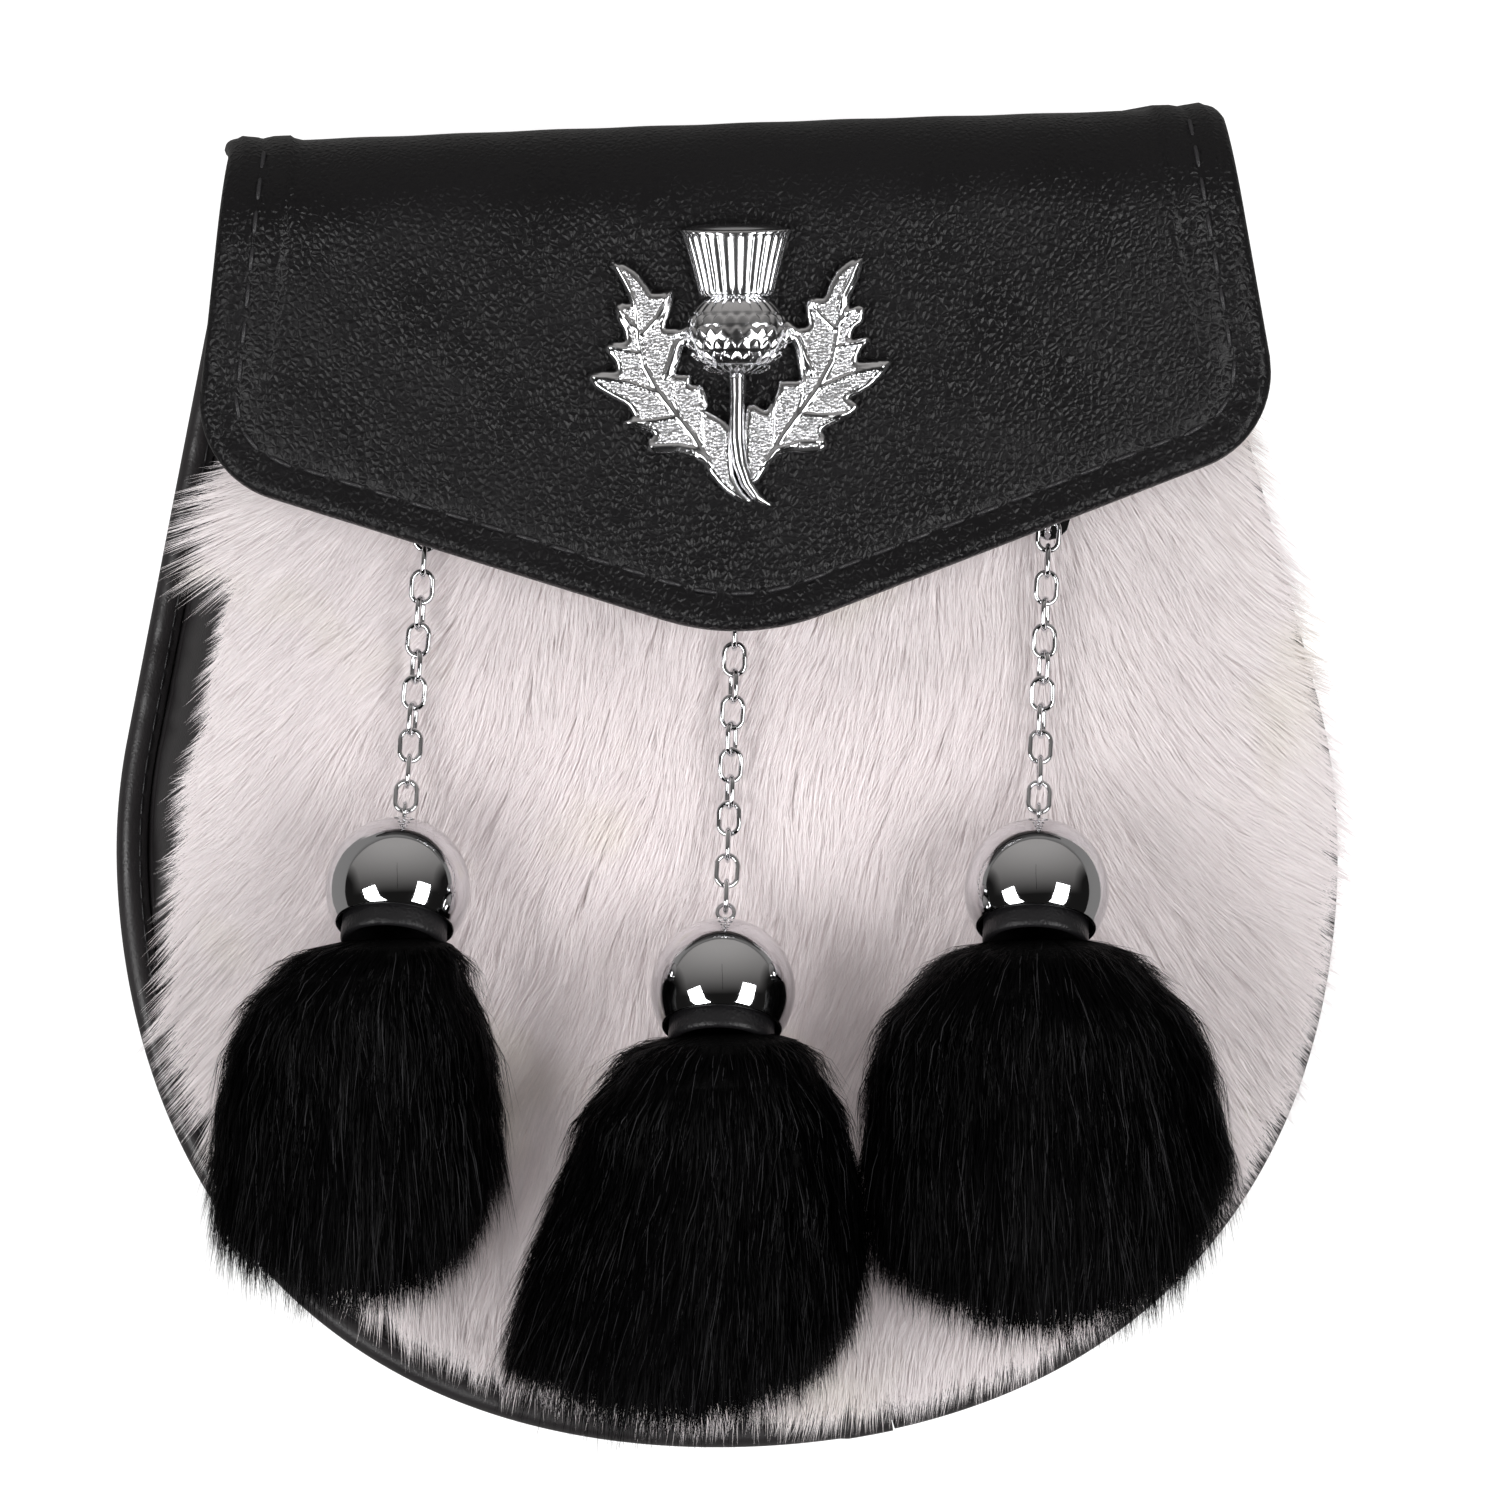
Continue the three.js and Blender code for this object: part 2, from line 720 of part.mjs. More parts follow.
function leaf(side) {
  const base = leafThickness - 0.2;
  const ribs = leafRibs.map(({ rootAcross, rootUp, endAcross, endUp }) => {
    const from = badgePoint(rootAcross, rootUp, base, side);
    return rib(from, badgePoint(endAcross, endUp, base, side), ribWidth, ribHeight + 0.2);
  });
  return [leafPlate(side), ...ribs];
}

// The globe, with its scales as a lattice of raised and sunken points.
function globe() {
  const ball = new THREE.SphereGeometry(1, globeColumns, globeRows);
  const places = ball.attributes.position;
  for (let i = 0; i < places.count; i++) {
    const row = Math.floor(i / (globeColumns + 1));
    const column = (i % (globeColumns + 1)) % globeColumns;
    const isRaised = row > 0 && row < globeRows && (row + column) % 2;
    const relief = isRaised ? scaleRelief / globeRadius : 0;
    const p = vec(places.getX(i), places.getY(i), places.getZ(i)).multiplyScalar(1 + relief);
    places.setXYZ(i, p.x, p.y, p.z);
  }
  return ball.scale(globeRadius, globeRadius * globeSquash, globeDepth).translate(0, 0, leafThickness / 2);
}

// The crown: a fluted cup that opens upwards.
function crown() {
  const foot = globeRadius * globeSquash - 1;
  const deep = globeDepth / globeRadius;
  const ring = (radius, y) => Array.from({ length: 2 * crownFlutes * 2 }, (_, i) => {
    const turn = (i / (4 * crownFlutes)) * 2 * Math.PI;
    const r = radius - (i % 2 ? fluteDepth : 0);
    return vec(r * Math.cos(turn), y, r * deep * Math.sin(turn));
  });
  return loft([ring(crownFootRadius, foot), ring(crownTopRadius, foot + crownLength)]);
}

// The stem runs down from the globe and curls to one side with a pointed end.
function stem() {
  const foot = -globeRadius * globeSquash + 0.6;
  const low = -badgeHeight * 0.59;
  const run = [
    { x: 0, y: foot, wide: 1 },
    { x: 0.04 * stemCurl, y: lerp(foot, low, 0.4), wide: 1 },
    { x: 0.17 * stemCurl, y: lerp(foot, low, 0.68), wide: 0.95 },
    { x: 0.5 * stemCurl, y: lerp(foot, low, 0.88), wide: 0.8 },
  ];
  const rings = run.map(({ x, y, wide }) => {
    const r = (wide * stemWidth) / 2;
    const high = 3 * r;
    const lower = [vec(x + r, y, -badgeCut), vec(x - r, y, -badgeCut)];
    return [lower[0], vec(x + r / 2, y, high), vec(x - r / 2, y, high), lower[1]];
  });
  return loft([...rings, [vec(stemCurl, low, stemWidth / 4)]]);
}

function thistleBadge() {
  const relief = join([...leaf(1), ...leaf(-1), globe(), crown(), stem()]);
  const under = new THREE.BoxGeometry(3 * badgeHalfWidth, 2 * badgeHeight, globeDepth * 2);
  return toGeometry(relief.subtract(toSolid(under.translate(0, 0, -globeDepth))));
}

// Chains and domes

function ringGeometry(radius, thickness, ringSides, sectionSides) {
  return outward(new THREE.TorusGeometry(radius, thickness / 2, sectionSides, ringSides));
}

// An oval link along X: a ring with its two halves drawn apart.
function linkGeometry() {
  const ring = ringGeometry((linkWidth - wire) / 2, wire, linkSides, wireSides);
  const places = ring.attributes.position;
  for (let i = 0; i < places.count; i++) {
    places.setX(i, places.getX(i) + Math.sign(places.getX(i)) * (linkLength - linkWidth) / 2);
  }
  return ring;
}

// Height of a dome's middle, resting on the open fur.
function domeHeight(x, y) {
  return furUnder(x, y, domeRadius * 0.4) + gap + domeRadius;
}

const eyeHeight = domeRadius + eyeRing + eyeWire / 2 + gap;
const reachToRing = (linkLength - wire) / 2;
const linkPitch = linkLength - 2 * wire - linkPlay;

// Places a pendant's dome: its middle, and the turn that points its axis along the chain and down.
function domeFrame(pendant) {
  const dome = placeOf(pendant.dome);
  const flapEdge = placeOf(pendant.flap);
  const plan = Math.atan2(dome.x - flapEdge.x, flapEdge.y - dome.y);
  const turn = new THREE.Quaternion().setFromEuler(new THREE.Euler(-rad(domeSlope), 0, plan, 'ZXY'));
  const middle = vec(dome.x, dome.y, domeHeight(dome.x, dome.y));
  return { middle, turn, axis: vec(0, 1, 0).applyQuaternion(turn) };
}

// The chain's run from the ring on its dome, down to the fur, and up under the flap.
function chainRoute(pendant) {
  const { middle, axis } = domeFrame(pendant);
  const start = middle.clone().addScaledVector(axis, eyeHeight);
  const towards = placeOf(pendant.flap);
  const plan = (share, lift) => {
    const x = lerp(start.x, towards.x, share);
    const y = lerp(start.y, towards.y, share);
    return vec(x, y, furUnder(x, y, linkWidth / 2) + lift);
  };
  const points = [start, ...[0.3, 0.6, 1, 1.25].map((share) => plan(share, chainOnFur))];
  return new THREE.CatmullRomCurve3(points, false, 'centripetal');
}

function routeAt(route, length) {
  const share = THREE.MathUtils.clamp(length / route.getLength(), 0, 1);
  return { point: route.getPointAt(share), tangent: route.getTangentAt(share) };
}

// Whether a link stands on edge, counted from the dome. The one in the upper ring lies flat.
function standsOnEdge(pendant, i) {
  return (pendant.links - 1 - i) % 2 === 1;
}

// Links along the route, each turned a quarter from the one before it, with a little play.
function chain(pendant) {
  const route = chainRoute(pendant);
  const geometry = linkGeometry();
  return Array.from({ length: pendant.links }, (_, i) => {
    const { point, tangent } = routeAt(route, reachToRing + i * linkPitch);
    const number = String(pendant.links - i).padStart(2, '0');
    const link = mesh(`link_${pendant.side}_${number}`, geometry, chrome);
    const side = vec(0, 0, 1).cross(tangent).normalize();
    const up = tangent.clone().cross(side);
    const basis = new THREE.Matrix4().makeBasis(tangent, side, up);
    const slack = linkWobble * Math.sin((Math.PI * i) / (pendant.links - 1));
    const play = slack * Math.sin(1.9 * i + pendant.links);
    const roll = rad((standsOnEdge(pendant, i) ? 90 : 0) + play);
    link.quaternion.setFromRotationMatrix(basis);
    link.quaternion.multiply(new THREE.Quaternion().setFromAxisAngle(vec(1, 0, 0), roll));
    link.position.copy(point);
    return link;
  });
}

// The ring and plate under the flap that carry a chain.
function staple(pendant) {
  const length = 2 * reachToRing + (pendant.links - 1) * linkPitch;
  const { point, tangent } = routeAt(chainRoute(pendant), length);
  const ring = ringGeometry(stapleRing, wire, 10, wireSides).rotateY(Math.PI / 2);
  const plateTop = furUnder(point.x, point.y, staplePlate) + gap + plateThickness;
  const plate = new THREE.CylinderGeometry(staplePlate, staplePlate, plateThickness, domeSides);
  plate.rotateX(Math.PI / 2).translate(0, 0, plateTop - plateThickness / 2 - point.z);
  const made = mesh(`staple_${pendant.side}`, toGeometry(join([ring, plate])), chrome);
  made.position.copy(point);
  made.rotation.z = Math.atan2(-tangent.x, tangent.y);
  return made;
}

// Everything below a chain is built along Y, with the origin in the middle of the dome.

// A hollow ball, open below, with a small hole for the eye pin.
function dome() {
  const inner = domeRadius - domeWall;
  const arc = (radius, from, to, steps) => Array.from({ length: steps + 1 }, (_, i) => {
    const turn = lerp(from, to, i / steps);
    return new THREE.Vector2(radius * Math.sin(turn), radius * Math.cos(turn));
  });
  const outerArc = arc(domeRadius, Math.asin(domeHole / domeRadius), Math.acos(-domeMouth / domeRadius), 6);
  const innerArc = arc(inner, Math.acos(-domeMouth / inner), Math.asin(domeHole / inner), 4);
  return outward(new THREE.LatheGeometry([...outerArc, ...innerArc, outerArc[0]], domeSides));
}

function cuff() {
  const inner = cuffRadius - cuffThickness;
  const [high, low] = [-domeMouth + cuffHidden, -domeMouth - cuffShown];
  const profile = [[cuffRadius, low], [cuffRadius, high], [inner, high], [inner, low], [cuffRadius, low]];
  return outward(new THREE.LatheGeometry(profile.map(([r, y]) => new THREE.Vector2(r, y)), domeSides));
}

// Ring, shank through the dome's hole, and a washer inside the dome.
function eyePin(pendant) {
  const ring = ringGeometry(eyeRing, eyeWire, 8, 4).rotateY(standsOnEdge(pendant, 0) ? 0 : Math.PI / 2);
  const bottom = domeRadius - domeWall - 3;
  const top = eyeHeight - eyeRing + eyeWire / 4;
  const shank = new THREE.CylinderGeometry(domeHole / 2, domeHole / 2, top - bottom, 6);
  const washer = new THREE.CylinderGeometry(2.2, 2.2, 0.6, 8).translate(0, bottom, 0);
  const parts = [ring.translate(0, eyeHeight, 0), shank.translate(0, (top + bottom) / 2, 0), washer];
  return toGeometry(join(parts));
}

// Tassels

// A tassel is a soft head in its cuff that widens to a flat ovoid on the fur, with locks at its end.
function tassel(pendant) {
  const { middle, axis, turn: domeTurn } = domeFrame(pendant);
  const halfWidth = (pendant.wide * roundRadius) / 2;
  const lowest = placeOf(pendant.end);
  const onAxis = (distance) => middle.clone().addScaledVector(axis, -distance);
  const cuffEnd = domeMouth + cuffShown;
  const lie = (x, y) => furUnder(x, y, halfWidth / 2) + gap + halfWidth * tasselFlatness;
  const lip = onAxis(cuffEnd);
  const midX = lerp(lip.x, lowest.x, 0.55);
  const midY = lerp(lip.y, lowest.y, 0.55);
  const centre = vec(midX, midY, lie(midX, midY));
  const end = vec(lowest.x, lowest.y, centre.z - halfWidth * 0.2);
  const spine = new THREE.CatmullRomCurve3([lip, onAxis(cuffEnd + 3), centre, end], false, 'centripetal');
  const section = (share, wide, thick, sides) => {
    const tangent = spine.getTangentAt(share);
    const side = tangent.clone().cross(vec(0, 0, 1)).normalize();
    const up = side.clone().cross(tangent);
    return sides.map((turn) => spine.getPointAt(share)
      .addScaledVector(side, wide * Math.cos(turn))
      .addScaledVector(up, thick * Math.sin(turn)));
  };
  const round = Array.from({ length: tasselSides }, (_, i) => (i / tasselSides) * 2 * Math.PI);
  const neck = (distance) => round.map((a) => {
    const p = vec(-tasselNeck * Math.cos(a), -distance, tasselNeck * Math.sin(a));
    return p.applyQuaternion(domeTurn).add(middle);
  });
  const thickAt = (wide) => Math.min(wide, lerp(tasselNeck, halfWidth * tasselFlatness, wide / halfWidth));
  const body = tasselSections.map(({ along, wide }) => {
    const reach = halfWidth * wide;
    return section(along, reach, thickAt(reach), round);
  });
  const head = loft([neck(cuffEnd - cuffHidden), neck(cuffEnd + gap), ...body, [spine.getPointAt(1)]]);
  const locks = Array.from({ length: tasselLocks }, (_, i) => {
    const turn = lerp(-0.03, 1.03, i / (tasselLocks - 1)) * Math.PI;
    const share = i % 2 ? 0.76 : 0.62;
    const reach = halfWidth * (i % 2 ? 0.86 : 0.97);
    const [root] = section(share, reach * 0.9, thickAt(reach) * 0.86, [turn]);
    const inward = 0.42 * Math.abs(Math.cos(turn)) + 0.1;
    const fall = spine.getTangentAt(share);
    const spread = root.clone().sub(spine.getPointAt(share)).normalize().multiplyScalar(0.3 - inward * 0.4);
    const length = tasselLockLength * (1 + 0.15 * Math.sin(2.1 * i));
    const run = fall.add(spread).normalize().multiplyScalar(length);
    return lock(root, root.clone().add(run), tasselLockWidth, lockThickness * 1.6);
  });
  return toGeometry(join([head, ...locks]));
}

// Belt loops: a strap with both feet sewn to the back, standing clear between them.
function beltLoop() {
  const low = -gap - loopThickness;
  const proud = -loopClear - loopThickness - gap;
  const half = loopBridge / 2;
  const outer = half + loopSlope;
  const end = outer + loopFoot;
  const profile = [
    [end, -gap],
    [outer, -gap],
    [half, proud + loopThickness],
    [-half, proud + loopThickness],
    [-outer, -gap],
    [-end, -gap],
    [-end, low],
    [-outer - loopThickness / 2, low],
    [-half - loopThickness / 2, proud],
    [half + loopThickness / 2, proud],
    [outer + loopThickness / 2, low],
    [end, low],
  ];
  const ring = (x) => profile.map(([y, z]) => vec(x, y, z));
  return loft([ring(-loopWidth / 2), ring(loopWidth / 2)]);
}

// Assembly

const body = new THREE.Group();
body.add(mesh('back_panel', backPanel(), leather));
body.add(mesh('edge_binding_left', bindingLeft(), leather));
body.add(mesh('edge_binding_right', bindingRight(), leather));
body.add(mesh('gusset', gusset(), smoothLeather));
body.add(hide);
body.add(mesh('flap', flap(), leather));
body.add(mesh('flap_stud', flapStud(), chrome));

const badge = mesh('thistle_badge', thistleBadge(), chrome);
badge.position.set(frontShift + badgeX, badgeY, flapUnder + flapThickness + gap);
badge.rotation.z = rad(badgeTurn);
body.add(badge);

const loopMiddle = backTop - flapSeam - gap - loopBridge / 2 - loopSlope - loopFoot;
['left', 'right'].forEach((side) => {
  const loop = mesh(`belt_loop_${side}`, beltLoop(), leather);
  loop.position.set((side === 'left' ? -1 : 1) * loopSpacing / 2, loopMiddle, 0);
  body.add(loop);
});

pendants.forEach((pendant) => {
  chain(pendant).forEach((link) => body.add(link));
  body.add(staple(pendant));
  body.add(mesh(`tassel_${pendant.side}`, tassel(pendant), blackFur));
  const drop = new THREE.Group();
  const { middle, turn } = domeFrame(pendant);
  drop.position.copy(middle);
  drop.quaternion.copy(turn);
  drop.add(mesh(`dome_${pendant.side}`, dome(), chrome));
  drop.add(mesh(`cuff_${pendant.side}`, cuff(), smoothLeather));
  drop.add(mesh(`eye_${pendant.side}`, eyePin(pendant), chrome));
  body.add(drop);
});

// The pouch lies on its belt loops and on the lowest part of its bound rim.
const loopLow = loopMiddle - loopBridge / 2 - loopThickness / 2;
const loopProud = loopClear + loopThickness + gap + bindingBottom;
body.rotation.x = Math.atan2(loopProud, roundRadius + loopLow);

const laid = new THREE.Group();
laid.add(body);
const box = new THREE.Box3().setFromObject(laid, true);
laid.position.set(-(box.min.x + box.max.x) / 2, -(box.min.y + box.max.y) / 2, -box.min.z);

const sporran = new THREE.Group();
sporran.add(laid);
export default sporran;
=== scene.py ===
# %% [markdown]
# # A sporran pouch in leather, fur and chrome
#
# The object is a flat leather pouch that lies on its back: a fur hide on a soft gusset, a leather flap
# with a cast thistle on it, and three fur tassels that hang from short chains. Each cell below makes one
# of its pieces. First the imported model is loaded, because it fixes where every piece sits.

import math

import bpy
import numpy as np
from mathutils import Matrix, Vector
from mathutils.geometry import delaunay_2d_cdt
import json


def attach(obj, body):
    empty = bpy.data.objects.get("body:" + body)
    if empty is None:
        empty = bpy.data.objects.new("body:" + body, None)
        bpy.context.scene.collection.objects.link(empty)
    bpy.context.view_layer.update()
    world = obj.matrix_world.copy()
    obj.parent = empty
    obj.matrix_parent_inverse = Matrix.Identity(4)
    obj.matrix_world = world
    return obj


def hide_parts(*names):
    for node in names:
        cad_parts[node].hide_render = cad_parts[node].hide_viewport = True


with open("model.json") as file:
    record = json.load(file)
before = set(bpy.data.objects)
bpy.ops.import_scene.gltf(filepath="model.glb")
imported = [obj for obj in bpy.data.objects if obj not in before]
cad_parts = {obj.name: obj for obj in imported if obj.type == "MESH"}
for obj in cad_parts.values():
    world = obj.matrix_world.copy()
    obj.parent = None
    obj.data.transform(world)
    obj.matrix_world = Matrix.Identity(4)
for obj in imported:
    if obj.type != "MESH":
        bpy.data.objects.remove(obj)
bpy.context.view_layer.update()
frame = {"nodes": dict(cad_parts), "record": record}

# %% [markdown]
# The pouch leans a little, because it rests on its belt loops. It is easier to think in its own frame:
# X to the right, Y towards the fold of the flap and Z out of the fur, in millimetres, with the origin in
# the middle of the round. The two strap seats of the record lie on the back, so they give that frame.

# %% The pouch's own frame
seats = [m for m in frame["record"]["mounts"] if m["name"].startswith("strap_seat")]
seat_across, seat_out = 65.5, -6.8
out_of_fur = Vector(seats[0]["axis"]).normalized()
to_right = Vector((1, 0, 0))
to_fold = out_of_fur.cross(to_right)
axes = np.array([to_right, to_fold, out_of_fur])
seat_middle = sum((Vector(m["pos_m"]) for m in seats), Vector()) / len(seats)
origin = np.array(seat_middle - 0.001 * (seat_across * to_fold + seat_out * out_of_fur))


def to_row(points):
    """Places of the pouch's frame, in millimetres, as places of the scene, in metres."""
    return 0.001 * np.asarray(points, float) @ axes + origin


def to_pouch(points):
    """Places of the scene, in metres, as places of the pouch's frame, in millimetres."""
    return 1000 * (np.asarray(points, float) - origin) @ axes.T


print("origin of the pouch:", origin.round(5), "lean:", round(math.degrees(math.asin(axes[1][2])), 2))

# %% [markdown]
# Three small helpers make every hand-built piece: one turns lists of places and faces into a mesh
# object, one joins rings of places into a closed skin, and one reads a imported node's own corners.

# %% Mesh helpers
def mesh_piece(name, places, faces, finish=None, smooth=True):
    """A piece from places of the pouch's frame and faces of their indices."""
    mesh = bpy.data.meshes.new(name)
    mesh.from_pydata([tuple(p) for p in to_row(places)], [], [tuple(map(int, f)) for f in faces])
    mesh.validate()
    mesh.polygons.foreach_set("use_smooth", [smooth] * len(mesh.polygons))
    piece = bpy.data.objects.new(name, mesh)
    bpy.context.scene.collection.objects.link(piece)
    if finish:
        mesh.materials.append(finish)
    return piece


def ring_faces(rings, around, start=0, closed=True):
    """Four-sided faces between rings that have equally many places."""
    last = around if closed else around - 1
    return [
        (start + r * around + i, start + r * around + (i + 1) % around,
         start + (r + 1) * around + (i + 1) % around, start + (r + 1) * around + i)
        for r in range(rings - 1) for i in range(last)
    ]


def corners_of(name):
    """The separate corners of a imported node, in the pouch's frame."""
    mesh = frame["nodes"][name].data
    flat = np.empty(3 * len(mesh.vertices))
    mesh.vertices.foreach_get("co", flat)
    return np.unique(to_pouch(flat.reshape(-1, 3)).round(4), axis=0)


def turned_outwards(piece):
    """Recalculates the faces of a closed piece so that they point out of it."""
    import bmesh

    work = bmesh.new()
    work.from_mesh(piece.data)
    bmesh.ops.remove_doubles(work, verts=work.verts, dist=1e-7)
    bmesh.ops.recalc_face_normals(work, faces=work.faces)
    work.to_mesh(piece.data)
    work.free()
    return piece


def keep(piece, *nodes, slot=None):
    """Fixes a finished piece to the pouch, in place of the nodes that it stands for."""
    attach(piece, "root")
    if nodes:
        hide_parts(*nodes)
    print(piece.name, len(piece.data.polygons), "faces")
    return piece


def smoothstep(value, low, high):
    """0 below low, 1 above high and a soft rise between."""
    share = np.clip((np.asarray(value, float) - low) / (high - low), 0, 1)
    return share * share * (3 - 2 * share)


def lerp(a, b, share):
    return a + (b - a) * share


# %% [markdown]
# ## Camera and light
#
# The picture was taken from straight above the pouch with a long lens, so the camera looks down the pouch's own Z axis
# from 1.45 m. Two softboxes on the left and right light it and a weaker one grazes the fold. The studio above is grey
# towards the fold and dark at the sides, which gives the bells something to mirror. A pale wall closes the view from
# the side, and a thin boom hangs above; neither is fixed to the pouch.

# %% Camera
camera_middle = (4.30, 16.11, 1450)
camera_turn = math.radians(2)
camera_data = bpy.data.cameras.new("camera")
camera_data.lens, camera_data.sensor_width = 214.2, 36
camera_data.clip_end = 20
camera = bpy.data.objects.new("camera", camera_data)
bpy.context.scene.collection.objects.link(camera)
picture_right = math.cos(camera_turn) * to_right - math.sin(camera_turn) * to_fold
picture_up = math.sin(camera_turn) * to_right + math.cos(camera_turn) * to_fold
camera.matrix_world = Matrix.Translation(Vector(to_row(camera_middle))) @ Matrix(
    (picture_right, picture_up, out_of_fur)
).transposed().to_4x4()
bpy.context.scene.camera = camera
bpy.context.scene.view_settings.view_transform = "Standard"
print("camera at", [round(c, 3) for c in camera.matrix_world.translation])


# %% Node helpers
def node(tree, kind, inputs=(), **settings):
    """A new node, with its settings, and its inputs by name or number: a value or another's output."""
    made = tree.nodes.new(kind)
    for key, value in settings.items():
        setattr(made, key, value)
    for key, value in dict(inputs).items():
        plug(tree, made.inputs[key], value)
    return made


def plug(tree, socket, value):
    """Links an output to a socket, or sets the socket's own value."""
    if isinstance(value, bpy.types.NodeSocket):
        tree.links.new(value, socket)
    else:
        socket.default_value = value


def maths(tree, operation, *values, clamp=False):
    """One step of arithmetic on numbers."""
    return node(tree, "ShaderNodeMath", enumerate(values), operation=operation, use_clamp=clamp).outputs[0]


def vectors(tree, operation, *values):
    """One step of arithmetic on vectors."""
    return node(tree, "ShaderNodeVectorMath", enumerate(values), operation=operation).outputs[0]


def scaled(tree, vector, factor):
    """A vector times a number."""
    return node(tree, "ShaderNodeVectorMath", {0: vector, "Scale": factor}, operation="SCALE").outputs[0]


def mixed(tree, factor, first, second):
    """A colour between two colours."""
    return node(tree, "ShaderNodeMix", {0: factor, 6: first, 7: second}, data_type="RGBA").outputs[2]


def new_finish(name, color, roughness, **sockets):
    """A material with its shader, whose constant values sit on the shader itself."""
    material = bpy.data.materials.new(name)
    material.use_nodes = True
    tree = material.node_tree
    shader = tree.nodes["Principled BSDF"]
    shader.inputs["Base Color"].default_value = (*color, 1)
    shader.inputs["Roughness"].default_value = roughness
    for key, value in sockets.items():
        shader.inputs[key.replace("_", " ")].default_value = value
    material.diffuse_color = (*color, 1)
    material.cycles.emission_sampling = "NONE"
    return material, tree, shader


# %% Floor, softboxes and cards
def card(name, middle, width, length, color, strength, face=(0, 0, 0), shown=False):
    """A flat glowing or dark sheet that faces a place of the pouch's frame."""
    mesh = bpy.data.meshes.new(name)
    w, l = 0.0005 * width, 0.0005 * length
    mesh.from_pydata([(-w, -l, 0), (w, -l, 0), (w, l, 0), (-w, l, 0)], [], [(0, 1, 2, 3)])
    sheet = bpy.data.objects.new(name, mesh)
    bpy.context.scene.collection.objects.link(sheet)
    away = Vector(to_row(face)) - Vector(to_row(middle))
    sheet.matrix_world = Matrix.Translation(Vector(to_row(middle))) @ away.to_track_quat("Z", "Y").to_matrix().to_4x4()
    finish, _, _ = new_finish(name, color, 0.9, Emission_Color=(*color, 1), Emission_Strength=strength)
    mesh.materials.append(finish)
    sheet.visible_camera = shown
    return sheet


def softbox(name, middle, width, length, watts):
    """A soft studio lamp that faces the pouch."""
    data = bpy.data.lights.new(name, "AREA")
    data.shape, data.size, data.size_y, data.energy = "RECTANGLE", 0.001 * width, 0.001 * length, watts
    lamp = bpy.data.objects.new(name, data)
    bpy.context.scene.collection.objects.link(lamp)
    away = Vector(to_row((0, 0, 30))) - Vector(to_row(middle))
    lamp.matrix_world = Matrix.Translation(Vector(to_row(middle))) @ away.to_track_quat("-Z", "Y").to_matrix().to_4x4()
    return lamp


floor_mesh = bpy.data.meshes.new("floor")
reach = 6
floor_mesh.from_pydata([(-reach, -reach, 0), (reach, -reach, 0), (reach, reach, 0), (-reach, reach, 0)], [], [(0, 1, 2, 3)])
floor = bpy.data.objects.new("floor", floor_mesh)
bpy.context.scene.collection.objects.link(floor)
floor_finish, _, _ = new_finish("pale_floor", (0.30, 0.30, 0.30), 0.9, Emission_Color=(1, 1, 1, 1), Emission_Strength=0.92)
floor_mesh.materials.append(floor_finish)
floor.visible_glossy = False
softbox("softbox_left", (-685, -272, 860), 800, 450, 9.2)
softbox("softbox_right", (658, -208, 900), 800, 450, 9.2)
softbox("softbox_fold", (0, 1500, 700), 1600, 300, 4.5).visible_glossy = False

world = bpy.data.worlds.new("studio")
world.use_nodes = True
sky = world.node_tree
way = node(sky, "ShaderNodeSeparateXYZ", {0: node(sky, "ShaderNodeTexCoord").outputs["Generated"]}).outputs
open_sides = node(sky, "ShaderNodeMapRange", {"Value": maths(sky, "ABSOLUTE", way[0]), "From Min": 0.97, "From Max": 0.86})
towards_fold = node(sky, "ShaderNodeMapRange", {"Value": way[1], "From Min": -0.12, "From Max": 0.95, "To Min": 0.0, "To Max": 0.42})
ceiling = maths(sky, "ADD", maths(sky, "MULTIPLY", open_sides.outputs[0], towards_fold.outputs[0]), 0.012)
plug(sky, sky.nodes["Background"].inputs["Color"], (1.0, 0.97, 0.94, 1))
plug(sky, sky.nodes["Background"].inputs["Strength"], ceiling)
bpy.context.scene.world = world

wall_mesh = bpy.data.meshes.new("pale_wall")
wall_ring = [(5 * math.cos(t), 5 * math.sin(t), z) for z in (-0.1, 6) for t in np.linspace(0, 2 * math.pi, 65)[:-1]]
wall_mesh.from_pydata(wall_ring, [], [(i, (i + 1) % 64, 64 + (i + 1) % 64, 64 + i) for i in range(64)])
wall = bpy.data.objects.new("pale_wall", wall_mesh)
bpy.context.scene.collection.objects.link(wall)
wall_finish, _, _ = new_finish("pale_wall", (0.3, 0.3, 0.3), 0.9, Emission_Color=(1, 1, 1, 1), Emission_Strength=0.9)
wall_mesh.materials.append(wall_finish)
for ray in ("glossy", "diffuse", "shadow", "transmission"):
    setattr(wall, "visible_" + ray, False)
dim_floor = card("dim_floor", (0, 0, -40), 12000, 12000, (0.15, 0.148, 0.145), 0.8, face=(0, 0, 1000))
dim_floor.visible_diffuse = dim_floor.visible_shadow = False
boom = card("boom", (0, 700, 1500), 14, 1300, (0.002, 0.002, 0.002), 0.0, face=(0, 700, 0))

# %% [markdown]
# ## Leather
#
# The pouch is of black hide with a soft pebbled grain, about 1.2 mm from furrow to furrow. Cells of a
# Voronoi texture give the pebbles: the distance to a cell's edge is low in the furrows and high on the
# pebbles, so it drives the bump. Broad noise varies the polish, as handling does.

